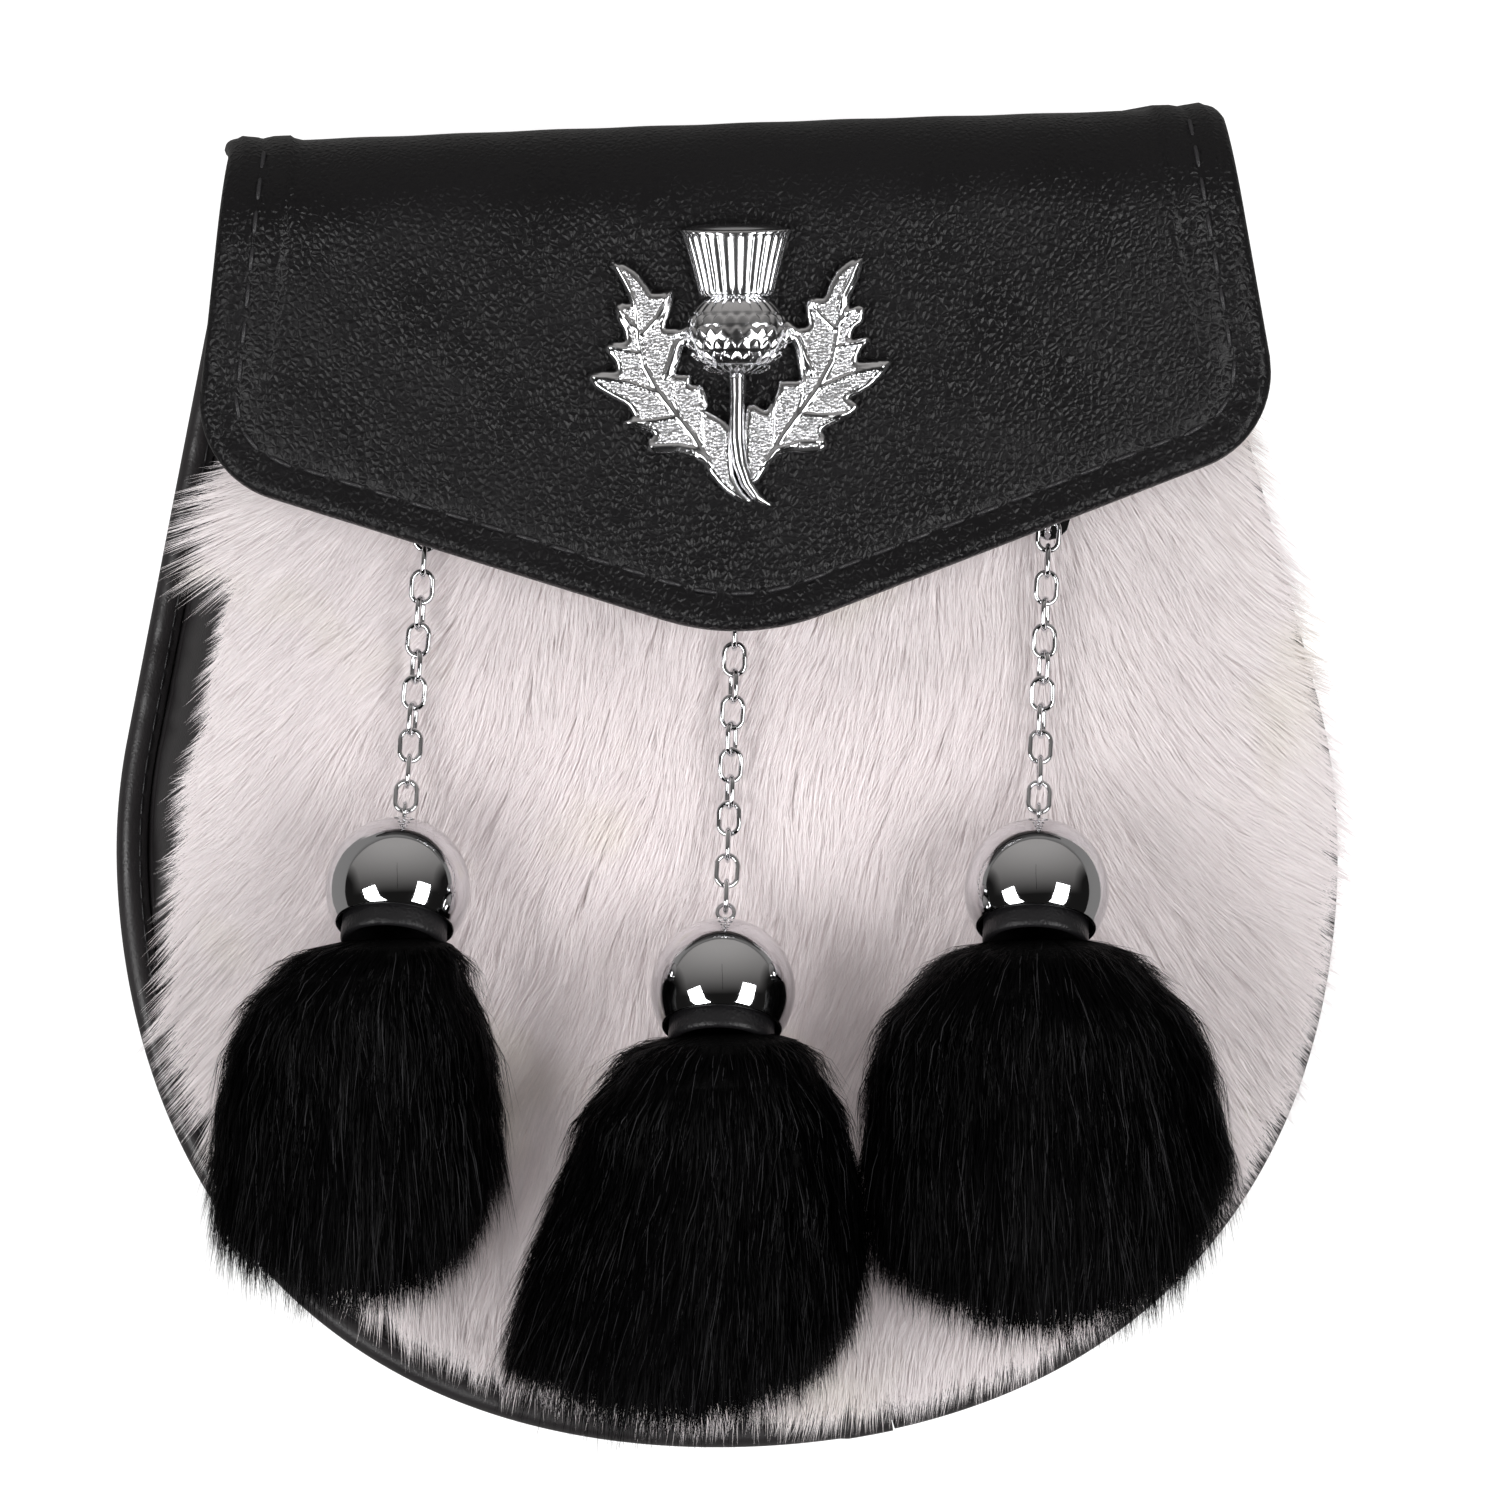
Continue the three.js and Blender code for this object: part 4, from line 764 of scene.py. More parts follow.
# %% Combing
pendant_x = {"left": -51.8, "middle": -1.3, "right": 48.6}
left_part = 1 - smoothstep(hide_x, -85, -20)
top_part = smoothstep(hide_y, 10, 70)
right_part = smoothstep(hide_x, 46, 60)
far_right = smoothstep(hide_x, 60, 92)
low_part = lerp(0.45, 1, smoothstep(hide_y, -78, -10))
angle = -17 - 28 * left_part - 35 * left_part * top_part + right_part * (45 + 34 * far_right)
angle = angle * low_part + 11 * np.sin(hide_x * 0.11 + 1.3 * np.sin(hide_y * 0.07)) * np.sin(hide_y * 0.09 + 0.8)
turn = np.radians(angle)
comb = np.column_stack([np.sin(turn), -np.cos(turn), np.zeros(len(turn))])
slope_x = (skin_face(hide_x + 0.5, hide_y) - skin_face(hide_x - 0.5, hide_y)) * (out_share < 0.97)
slope_y = (skin_face(hide_x, hide_y + 0.5) - skin_face(hide_x, hide_y - 0.5)) * (out_share < 0.97)
comb[:, 2] = slope_x * comb[:, 0] + slope_y * comb[:, 1]
rise = np.column_stack([-slope_x, -slope_y, np.ones(len(turn))])

under_flap = smoothstep(hide_y - flap_edge(hide_x), 3, 14)
thick = lerp(1.0, 0.10, under_flap * (out_share < 0.84))
thick = lerp(thick, 0.02, smoothstep(hide_y, 76, 84))
for x, y, half, drop in ((-54.5, -38, 18, 30), (-4, -58, 20, 26), (49, -42, 21, 29)):
    hidden = 1 - smoothstep(np.hypot((hide_x - x) / half, (hide_y - y) / drop), 0.75, 1.0)
    thick *= lerp(1, 0.2, hidden)
at_rim = smoothstep(out_share, 0.80, 1.0)

# Where the hair was trimmed: how far inside the outline it ends, round the pouch.
trim_along = [0, 0.35, 0.42, 0.55, 0.60, 0.75, 1.017, 1.08, 1.105, 1.15, 1.22, 1.30, 1.65, 1.745, 1.82, 1.90, 2.0, 2.28, 2.5, 3]
trim_inset = [8, 8, -1.0, -0.5, 9.5, 9.2, 8.2, 4.1, -0.5, 0, 3.0, 5.4, 5.4, 6.6, 6.2, 5.2, 4.2, 2.8, 2.4, 3]
rim_along = stations(0, 3, 400)
rim_places = np.array([outline_at(a, 0, hide_top) for a in rim_along]) + (front_shift, 0)
to_rim = rim_places[None, :, :] - np.column_stack([hide_x, hide_y])[:, None, :]
nearest = np.hypot(to_rim[..., 0], to_rim[..., 1]).argmin(1)
to_rim = to_rim[np.arange(len(nearest)), nearest]
rim_away = np.hypot(*to_rim.T)
going_out = (comb[:, :2] * to_rim).sum(1) / rim_away
room = (rim_away - np.interp(rim_along[nearest], trim_along, trim_inset)) / (10.5 * np.maximum(going_out, 0.35))
reach = np.where(going_out > 0.1, np.minimum(1, np.maximum(room, 0.2)), 1)
reach = lerp(reach, np.clip(room, 0.3, 1.6), smoothstep(out_share, 0.88, 0.97) * (going_out > 0.1))
droop = np.zeros((len(hide_x), 3))
droop[:, 2] = -3.2 * at_rim * reach
thick *= lerp(1, 1.35, at_rim)
bow = lerp(0.55, 0.75, at_rim)


def hide_part(name, low, high, seed):
    """White fur on the part of the hide between two places across."""
    chosen = [f for f in hide_faces if low <= np.mean([hide_x[i] for i in f[:4]]) < high and len(f) == 4]
    used = np.unique(np.array(chosen))
    where = {old: new for new, old in enumerate(used)}
    base = fur_skin(
        name + "_skin", np.column_stack([hide_x, hide_y, hide_z])[used], [tuple(where[i] for i in f) for f in chosen],
        comb=comb[used], rise=rise[used], reach=reach[used], thick=thick[used], droop=0.001 * droop[used], bow=bow[used],
    )
    return fur(
        name, base, 50000, Length=0.0105, Width=0.000127, Lift=0.32, Clump=230.0, Gather=0.34, Wander=0.0075, Stray=0.0010,
        Seed=seed, Finish=white_fur,
    )


for name, low, high, seed in (("fur_left", -200, -27, 11), ("fur_middle", -27, 33, 12), ("fur_right", 33, 200, 13)):
    keep(hide_part(name, low, high, seed), slot="white_fur")

# %% [markdown]
# ## Flap
#
# The flap is one sheet of leather, sewn to the back, that folds over the top and ends in a broad V. Its
# sides are turned under as hems, which lift the face a little, and all its edges are rolled to a bead
# and sewn 6 mm in. It is built column by column: each column runs from the rear seam over both bends
# down to the V edge, and the distance to the outline gives the thickness there.

# %% Flap outline
flap_top, flare, point_angle, point_y = 116, math.radians(8), math.radians(19.25), 32.6
corner_x, corner_y, corner_r = 68.805, 73.575, 16
tip_y, tip_r, side_end = 72.850, 38, 75.802
half_leather = 1.1


def flap_half(y):
    """Half the flap's width at a height."""
    return 79 + (flap_top - y) * math.tan(flare)


def flap_outline(inset=0.0, bead=0.0):
    """The flap's outline from its left side down round the V to its right side, moved in by an inset."""
    right = []
    r = tip_r - inset
    for turn in np.linspace(0, point_angle, 16):
        right.append((r * math.sin(turn), tip_y - r * math.cos(turn)))
    r = corner_r - inset
    for turn in np.linspace(point_angle, math.pi / 2 + flare, 22):
        right.append((corner_x + r * math.sin(turn), corner_y - r * math.cos(turn)))
    for y in np.linspace(84, flap_top, 12):
        right.append((flap_half(y) - inset / math.cos(flare), y))
    return np.array([(-x, y) for x, y in right[:0:-1]] + right)


def spread(line, step):
    """The same line with evenly spaced places."""
    length = np.concatenate([[0], np.cumsum(np.hypot(*np.diff(line, axis=0).T))])
    stops = np.linspace(0, length[-1], int(length[-1] / step) + 1)
    return np.column_stack([np.interp(stops, length, line[:, k]) for k in (0, 1)])


outline = spread(flap_outline(), 0.8)
fold_outline = np.vstack([outline, [(79, flap_top + 30)]])
fold_outline = np.vstack([[(-79, flap_top + 30)], fold_outline])


def edge_distance(x, y):
    """How far a place on the flat of the flap lies inside its outline."""
    start, end = fold_outline[:-1], fold_outline[1:]
    run = end - start
    size = (run**2).sum(1)
    result = np.empty(len(x))
    for i in range(0, len(x), 2000):
        away = np.column_stack([x[i:i + 2000], y[i:i + 2000]])[:, None, :] - start
        share = np.clip((away * run).sum(2) / size, 0, 1)
        result[i:i + 2000] = np.sqrt(((away - share[..., None] * run) ** 2).sum(2)).min(1)
    return result


def lowest(share):
    """Lowest height of the column that keeps this share of the flap's half-width."""
    x = outline[:, 0] / flap_half(outline[:, 1])
    below = outline[:, 1] < side_end + 1e-6
    order = np.argsort(x[below])
    return np.interp(share, x[below][order], outline[below][order, 1])


print("flap outline:", len(outline), "places, tip at", outline[:, 1].min().round(2))

# %% Flap surface
edge_shares = 1 - np.array([0, 0.25, 0.55, 0.95, 1.5, 2.2, 3.0, 4.0, 5.0, 5.6, 6.0, 6.4, 7.0, 8.2, 9.6, 10.4, 11.0, 11.6, 13, 15]) / 84
half_shares = np.concatenate([edge_shares, np.linspace(edge_shares[-1], 0, 52)[1:]])
shares = np.concatenate([-half_shares, half_shares[::-1][1:]])
down = 1 - np.array([0, 0.25, 0.55, 0.95, 1.5, 2.2, 3.0, 4.0, 5.0, 5.6, 6.0, 6.4, 7.0, 8.2, 10, 12.5])
bend_front, bend_rear = 15, 9
outer_y = flap_top - half_leather
rear_z = -0.3 - half_leather


def flap_column(share):
    """Places along one column on the middle of the leather, with the way out and the width there."""
    front_z = 42.9 - 5 * share**2
    rows = [(88.8 + s * (105.9 - 88.8), rear_z, 0, -1, 70) for s in (0, 0.35, 0.7)]
    for turn in np.radians(np.linspace(0, 90, 9)):
        y = outer_y - bend_rear + bend_rear * math.sin(turn)
        rows.append((y, rear_z + bend_rear - bend_rear * math.cos(turn), math.sin(turn), -math.cos(turn), lerp(70, 75, turn * 2 / math.pi)))
    top = rear_z + bend_rear
    rows += [(outer_y, lerp(top, front_z - bend_front, s), 1, 0, lerp(75, 79, s)) for s in (0.25, 0.5, 0.75)]
    for turn in np.radians(np.linspace(0, 90, 17)):
        y = outer_y - bend_front + bend_front * math.cos(turn)
        rows.append((y, front_z - bend_front + bend_front * math.sin(turn), math.cos(turn), math.sin(turn), flap_half(y)))
    edge_y = float(lowest(share))
    head = outer_y - bend_front
    run = head - edge_y
    stops = list(np.linspace(0, run - 13, 34)[1:]) + [run - d for d in (12.5, 10, 8.2, 7.0, 6.4, 6.0, 5.6, 5.0, 4.0, 3.0, 2.2, 1.5, 0.95, 0.55, 0.25, 0)]
    rows += [(head - s, front_z, 0, 1, flap_half(head - s)) for s in stops]
    return rows


columns = [flap_column(s) for s in shares]
rows = len(columns[0])
y, z, out_y, out_z, wide = np.array(columns).reshape(-1, 5).T
x = wide * np.repeat(shares, rows)
front = out_z > 0.999
side_away = (1 - np.abs(np.repeat(shares, rows))) * wide * math.cos(flare)
inside = np.where(y < 100, np.minimum(edge_distance(x, y), side_away + 40 * (y < side_end)), side_away)


def leather_height(inside, side_away, x, y):
    """Half the leather's thickness on its face: a rolled bead, a sewn valley and the turned side hem."""
    bead = np.sqrt(np.clip(1.7**2 - (1.7 - np.minimum(inside, 1.7)) ** 2, 0, None))
    body = half_leather + 0.6 * (1 - smoothstep(inside, 1.7, 4.4))
    valley = 0.34 * np.exp(-(((inside - 6) / 0.75) ** 2))
    hem = 0.8 * (1 - smoothstep(side_away, 10.4, 11.2)) * smoothstep(inside, 1.7, 3.2)
    hem = hem * smoothstep(y, 70, 86)
    soft = 0.16 * np.sin(x * 0.13 + 1.7 * np.sin(y * 0.09)) * np.sin(y * 0.16 + 0.6) + 0.05 * np.sin(x * 0.41 + y * 0.33)
    soft = soft * smoothstep(inside, 4, 18)
    turn = np.arctan2(y - corner_y, np.abs(x) - corner_x)
    near_corner = np.exp(-(((turn + 0.6) / 0.75) ** 2)) * (1 - smoothstep(inside, 2.2, 7.5)) * smoothstep(inside, 0.3, 1.5)
    puckers = 0.22 * np.sin(turn * 19) * near_corner
    return np.where(inside < 1.7, bead, body) - valley + hem + soft + puckers


above = leather_height(inside, side_away, x, y)
below = np.minimum(np.sqrt(np.clip(1.3**2 - (1.3 - np.minimum(inside, 1.3)) ** 2, 0, None)), 1.1) * np.minimum(1, inside * 9)
at_edge = inside < 1e-3
above = np.where(at_edge, 0, above)
mid_x = x + shift_at(z)
top_side = np.column_stack([mid_x, y + above * out_y, z + above * out_z])
under_side = np.column_stack([mid_x, y - below * out_y, z - below * out_z])
n_columns = len(shares)
top_faces = ring_faces(n_columns, rows, closed=False)
count = len(top_side)
faces = top_faces + [tuple(i + count for i in f[::-1]) for f in top_faces]
for c in range(n_columns - 1):
    faces.append((c * rows, (c + 1) * rows, (c + 1) * rows + count, c * rows + count))
    faces.append(((c + 1) * rows - 1, (c + 1) * rows - 1 + count, (c + 2) * rows - 1 + count, (c + 2) * rows - 1))
for r in range(rows - 1):
    faces.append((r, r + count, r + 1 + count, r + 1))
    end = (n_columns - 1) * rows
    faces.append((end + r, end + r + 1, end + r + 1 + count, end + r + count))
flap = turned_outwards(mesh_piece("flap_leather", np.vstack([top_side, under_side]), faces, grained))
keep(flap, "flap", slot="leather")

# %% Flap stitches
def on_flap(line):
    """Places on the flap's face above a flat line, with the way out of the leather."""
    x, y = line.T
    share = np.clip(x / (79 + (flap_top - y) * math.tan(flare)), -1, 1)
    front_z = 42.9 - 5 * share**2
    over = np.clip((y - (outer_y - bend_front)) / bend_front, 0, 0.999)
    turn = np.arccos(over)
    z = front_z - bend_front * (1 - np.sin(turn))
    side_away = (1 - np.abs(share)) * flap_half(y) * math.cos(flare)
    high = leather_height(edge_distance(x, y), side_away, x, y)
    out = np.column_stack([np.zeros(len(x)), np.where(over > 0, np.cos(turn), 0), np.where(over > 0, np.sin(turn), 1)])
    place = np.column_stack([x + shift_at(z), y + (high + 0.05) * out[:, 1], z + (high + 0.05) * out[:, 2]])
    return place, out


sewn = spread(flap_outline(inset=6), 1.0)
place, out = on_flap(sewn[(sewn[:, 1] < 112)])
keep(seam("stitches_flap", place, out, 5.8, 4.4, 0.8, thread_black), slot="leather")

# %% [markdown]
# ## Badge
#
# The badge is one casting, chromed: a thistle with a fluted crown, a globe of pointed scales and two
# leaves with bevelled ribs on a stippled ground. It is modelled as relief. Each leaf is a flat outline
# filled with a fine net of places, and every place rises with its distance from the edge and from the
# ribs. The globe and crown are turned shapes whose radius varies with row and column.

# %% Chrome
def chrome(name, brightness, roughness, stipple):
    """Polished chrome. stipple is the depth, in millimetres, of a struck ground where the mesh asks for it."""
    material, tree, shader = new_finish(name, (brightness, brightness, 1.02 * brightness), roughness, Metallic=1.0)
    place = node(tree, "ShaderNodeTexCoord").outputs["Object"]
    broad = node(tree, "ShaderNodeTexNoise", {"Vector": place, "Scale": 160, "Detail": 2}).outputs["Fac"]
    polish = node(tree, "ShaderNodeMapRange", {"Value": broad, "To Min": roughness * 0.7, "To Max": roughness * 1.5}).outputs["Result"]
    if stipple:
        struck = node(tree, "ShaderNodeTexVoronoi", {"Vector": place, "Scale": 1800}).outputs["Distance"]
        ground = node(tree, "ShaderNodeAttribute", attribute_name="ground").outputs["Fac"]
        height = maths(tree, "MULTIPLY", struck, ground)
        polish = maths(tree, "ADD", polish, maths(tree, "MULTIPLY", ground, 0.15))
    else:
        height = node(tree, "ShaderNodeTexNoise", {"Vector": place, "Scale": 500, "Detail": 1}).outputs["Fac"]
    plug(tree, shader.inputs["Roughness"], polish)
    bump = node(tree, "ShaderNodeBump", {"Height": height, "Distance": 0.001 * (stipple or 0.008)})
    plug(tree, shader.inputs["Normal"], bump.outputs["Normal"])
    return material


badge_chrome = chrome("badge_chrome", 0.74, 0.17, 0.42)
bell_chrome = chrome("bell_chrome", 0.68, 0.045, 0)

# %% Badge frame
badge_x, badge_height_y, badge_z = 4.5, 81.5, 44.3
badge_turn = math.radians(-1.5)


def on_badge(places):
    """Places of the badge, from the middle of its globe, in the pouch's frame."""
    x, y, z = np.asarray(places, float).T
    c, s = math.cos(badge_turn), math.sin(badge_turn)
    return np.column_stack([badge_x + c * x - s * y, badge_height_y + s * x + c * y, badge_z + z])


# Outline of each leaf from its tip down its inner side and back up its outer side.
left_leaf = [
    (-19.6, 11.6), (-17.4, 11.2), (-15.5, 9.9), (-14.1, 8.1), (-13.2, 6.75), (-11.4, 6.8), (-10.0, 7.2), (-9.9, 5.8),
    (-10.3, 3.75), (-11.1, 1.2), (-9.2, 1.15), (-6.5, 1.6), (-6.5, -2.2), (-8.3, -1.9), (-8.9, -4.1), (-9.55, -6.0),
    (-8.35, -6.1), (-7.2, -6.2), (-7.2, -7.7), (-5.6, -7.8), (-4.8, -9.2), (-4.4, -11.1), (-4.8, -11.8), (-3.4, -12.6),
    (-2.0, -13.5), (-0.8, -15.0), (-0.8, -19.1), (-0.5, -22.2), (0.9, -24.9), (2.3, -26.3), (1.2, -26.5), (-0.85, -25.6),
    (-2.6, -24.2), (-4.3, -22.2), (-5.2, -20.6), (-7.0, -19.5), (-10.1, -18.6), (-13.1, -18.65), (-14.3, -18.0),
    (-14.15, -16.5), (-13.3, -15.6), (-15.6, -14.8), (-18.1, -14.0), (-17.9, -13.3), (-16.5, -12.6), (-17.4, -11.1),
    (-19.9, -9.7), (-22.3, -8.2), (-23.5, -6.65), (-23.2, -5.9), (-21.3, -5.5), (-19.1, -5.5), (-19.3, -4.1),
    (-20.8, -2.2), (-20.7, -1.4), (-19.3, -0.95), (-17.7, -0.8), (-17.9, 1.0), (-18.9, 2.7), (-19.1, 4.8), (-18.1, 5.3),
    (-16.9, 5.1), (-17.2, 6.8), (-18.1, 8.5), (-19.1, 10.2),
]
right_leaf = [
    (20.0, 12.0), (17.9, 11.6), (16.0, 10.2), (14.8, 8.35), (14.1, 6.5), (13.5, 5.7), (11.8, 5.9), (10.9, 5.2),
    (10.85, 3.4), (11.15, 1.4), (9.9, 1.1), (8.35, 2.05), (6.5, 2.0), (6.5, -2.2), (8.7, -1.4), (9.4, -4.1), (9.8, -7.1),
    (8.0, -7.2), (6.5, -7.3), (6.2, -8.9), (5.3, -10.6), (4.4, -11.8), (2.6, -10.8), (1.5, -11.2), (1.2, -12.6),
    (0.8, -15.7), (0.8, -20.8), (1.2, -23.2), (1.9, -24.0), (3.2, -23.2), (4.4, -21.5), (5.0, -20.6), (6.3, -19.3),
    (8.0, -18.7), (10.7, -18.9), (13.2, -18.6), (14.2, -17.5), (13.8, -16.0), (13.5, -15.2), (15.3, -14.2),
    (17.6, -13.0), (19.1, -11.8), (18.8, -10.9), (17.7, -10.2), (19.2, -9.6), (21.0, -8.5), (23.0, -6.5), (24.3, -4.6),
    (23.7, -4.2), (21.3, -4.3), (19.1, -4.4), (19.6, -2.6), (21.1, -0.9), (20.3, -0.35), (18.2, -0.7), (18.6, 0.7),
    (19.9, 1.8), (20.2, 4.0), (19.3, 4.6), (17.9, 4.2), (17.9, 5.8), (18.9, 7.8), (19.8, 10.4),
]
# Ridges of the left leaf: its start, its end and its width at the start.
leaf_ridges = [
    ((-4.6, -20.3), (-7.0, -16.0), 1.5), ((-7.0, -16.0), (-9.9, -12.3), 1.5), ((-9.9, -12.3), (-12.5, -8.9), 1.5),
    ((-12.5, -8.9), (-14.6, -5.0), 1.4), ((-14.6, -5.0), (-15.5, -0.5), 1.3), ((-15.5, -0.5), (-15.9, 4.8), 1.2),
    ((-15.9, 4.8), (-18.9, 10.9), 1.0), ((-12.4, -9.1), (-17.6, -7.2), 1.1), ((-17.6, -7.2), (-22.6, -6.5), 0.9),
    ((-14.8, -3.0), (-20.0, -1.8), 0.9), ((-15.2, 0.3), (-18.6, 4.2), 1.1), ((-15.0, 0.0), (-12.6, 2.6), 1.2),
    ((-12.6, 2.6), (-10.5, 6.6), 1.0), ((-9.4, -12.8), (-13.0, -13.4), 0.9), ((-13.0, -13.4), (-17.4, -13.7), 0.8),
    ((-5.6, -18.1), (-9.5, -17.3), 0.9), ((-9.5, -17.3), (-13.8, -17.5), 0.8), ((-5.4, -17.2), (-5.6, -12.4), 0.9),
    ((-5.6, -12.4), (-6.2, -8.4), 0.7), ((-8.6, -14.0), (-9.8, -10.4), 0.9), ((-9.8, -10.4), (-10.2, -7.5), 0.7),
    ((-11.4, -6.6), (-10.0, -2.6), 1.4), ((-10.0, -2.6), (-8.6, 0.8), 1.4),
]


def segment_distance(places, start, end):
    """Distance of each place from a line between two others, and the share along it."""
    run = end - start
    share = np.clip(((places - start) @ run) / (run @ run), 0, 1)
    return np.hypot(*(places - start - share[:, None] * run).T), share


def curved_edge(points):
    """A closed outline drawn smoothly through its points, with soft corners."""
    points = np.array(points)
    line = []
    for i in range(len(points)):
        a, b, c, d = (points[(i + k) % len(points)] for k in (-1, 0, 1, 2))
        steps = max(2, int(np.hypot(*(c - b)) / 0.4))
        for t in np.linspace(0, 1, steps + 1)[:-1]:
            soft = 0.5 * (2 * b + (c - a) * t + (2 * a - 5 * b + 4 * c - d) * t**2 + (3 * b - a - 3 * c + d) * t**3)
            line.append(0.45 * soft + 0.55 * (b + (c - b) * t))
    return np.array(line)


def mirrored(place):
    """A place of the left leaf as its place on the right leaf, which is turned a little upwards."""
    x, y = place
    return -1.03 * x, y + 0.08 * max(0, -x - 6)


def leaf(side):
    """One leaf: a relief over a net of places, closed by a flat back."""
    line = curved_edge(left_leaf if side < 0 else right_leaf)
    low, high = line.min(0), line.max(0)
    step = 0.30
    net = np.array([(x + (0.5 * step if j % 2 else 0), y) for j, y in enumerate(np.arange(low[1], high[1], step * 0.87))
                    for x in np.arange(low[0], high[0], step)])
    loops = np.roll(line, -1, axis=0)
    inside = np.zeros(len(net), bool)
    for (x1, y1), (x2, y2) in zip(line, loops):
        if y1 != y2:
            crosses = ((net[:, 1] > y1) != (net[:, 1] > y2)) & (net[:, 0] < (x2 - x1) * (net[:, 1] - y1) / (y2 - y1) + x1)
            inside ^= crosses
    net = net[inside]
    away = np.min([segment_distance(net, a, b)[0] for a, b in zip(line, loops)], axis=0)
    net = net[away > 0.16]
    count = len(line)
    every = [Vector(p) for p in np.vstack([line, net])]
    places, _, faces, _, _, _ = delaunay_2d_cdt(every, [(i, (i + 1) % count) for i in range(count)], [list(range(count))], 1, 1e-5)
    flat = np.array([tuple(p) for p in places])
    edge = np.min([segment_distance(flat, a, b)[0] for a, b in zip(line, loops)], axis=0)
    bevel = smoothstep(edge, 0, 0.75)
    rise = 1.55 + 0.25 * bevel - 0.35 * smoothstep(edge, 0.9, 1.7)
    ground = smoothstep(edge, 0.9, 1.4)
    ribs = np.zeros(len(flat))
    for root, end, wide in leaf_ridges:
        if side > 0:
            root, end = mirrored(root), mirrored(end)
        far, share = segment_distance(flat, np.array(root), np.array(end))
        ridge = np.clip(1 - far / (0.62 * wide), 0, 1)
        ribs = np.maximum(ribs, ridge * smoothstep(share, -0.3, 0.1))
        ground *= smoothstep(far, 0.35 * wide, 0.6 * wide)
    rise = rise + 0.55 * ribs * smoothstep(edge, 0, 0.8)
    rise = np.where(edge < 0.02, 1.15, rise)
    top = np.column_stack([flat, rise])
    base = np.column_stack([flat, np.zeros(len(flat))])
    n = len(flat)
    faces = [tuple(f) for f in faces]
    used = {}
    for f in faces:
        for a, b in zip(f, f[1:] + f[:1]):
            used[(a, b)] = used.get((a, b), 0) + 1
    walls = [(a, b, b + n, a + n) for a, b in used if (b, a) not in used]
    everything = faces + [tuple(i + n for i in f[::-1]) for f in faces] + walls
    return np.vstack([top, base]), everything, np.concatenate([ground, np.zeros(n)])


# %% Globe, crown and stem
def globe():
    """The ball of the thistle: rows of pointed scales that overlap upwards, with rounded ones on top."""
    radius, squash, deep = 8.3, 0.83, 5.7
    steps, turns, around, scale_rows = 72, 216, 24, 6.6
    places = []
    for i in range(1, steps):
        polar = math.pi * i / steps
        for j in range(turns):
            turn = 2 * math.pi * j / turns
            row = (1 - math.cos(polar)) * 0.5 * scale_rows + 0.35
            which = math.floor(row)
            into = row - which
            column = turn / (2 * math.pi) * around + 0.5 * (which % 2)
            off = abs((column % 1) - 0.5) * 2
            if which <= 1:
                relief = 0.42 * math.sqrt(max(0.0, 1 - off**2)) * (1 - 0.3 * into)
            else:
                tip = 0.12 + 0.55 * off**1.3
                relief = 0.46 * (1 - 0.7 * into) * (1 - 0.3 * off**2) if into > tip else 0.0
            r = radius + relief - 0.35
            places.append((r * math.sin(polar) * math.cos(turn), r * squash * math.cos(polar), 0.8 + deep / radius * r * math.sin(polar) * math.sin(turn)))
    faces = ring_faces(steps - 1, turns)
    top, low = len(places), len(places) + 1
    places += [(0, radius * squash, 0.8), (0, -radius * squash, 0.8)]
    faces += [(top, (i + 1) % turns, i) for i in range(turns)]
    last = (steps - 2) * turns
    faces += [(low, last + i, last + (i + 1) % turns) for i in range(turns)]
    return np.array(places), faces, np.zeros(len(places))


def crown():
    """The tuft: a cup of flutes that spreads upwards, with a thin oval rim."""
    flutes, turns, rows = 26, 390, 18
    places = []
    for i in range(rows + 1):
        share = i / rows
        for j in range(turns):
            turn = 2 * math.pi * j / turns
            wave = abs(math.sin(0.5 * flutes * turn)) ** 0.7
            flute = 0.32 * (wave - 1) * smoothstep(share, 0, 0.15) * (1 - smoothstep(share, 0.93, 0.96))
            spread_out = lerp(5.9, 8.7, share**1.15)
            rim = 0.35 * smoothstep(share, 0.94, 0.97)
            r = spread_out + flute + rim
            y = 6.0 + 10.6 * share
            places.append((r * math.cos(turn), y - 0.6 * math.sin(turn) * share, 1.0 + 0.62 * r * math.sin(turn)))
    inner = []
    for i in range(6):
        share = 1 - i / 5
        for j in range(turns):
            turn = 2 * math.pi * j / turns
            r = lerp(2.0, 8.45, share**0.6)
            y = 16.6 + 0.9 * (1 - share**2)
            inner.append((r * math.cos(turn), y - 0.6 * math.sin(turn) * r / 8.45, 1.0 + 0.62 * r * math.sin(turn)))
    places += inner
    faces = ring_faces(rows + 1 + 6, turns)
    faces += [tuple(range(turns))[::-1], tuple((rows + 6) * turns + i for i in range(turns))]
    return np.array(places), faces, np.zeros(len(places))


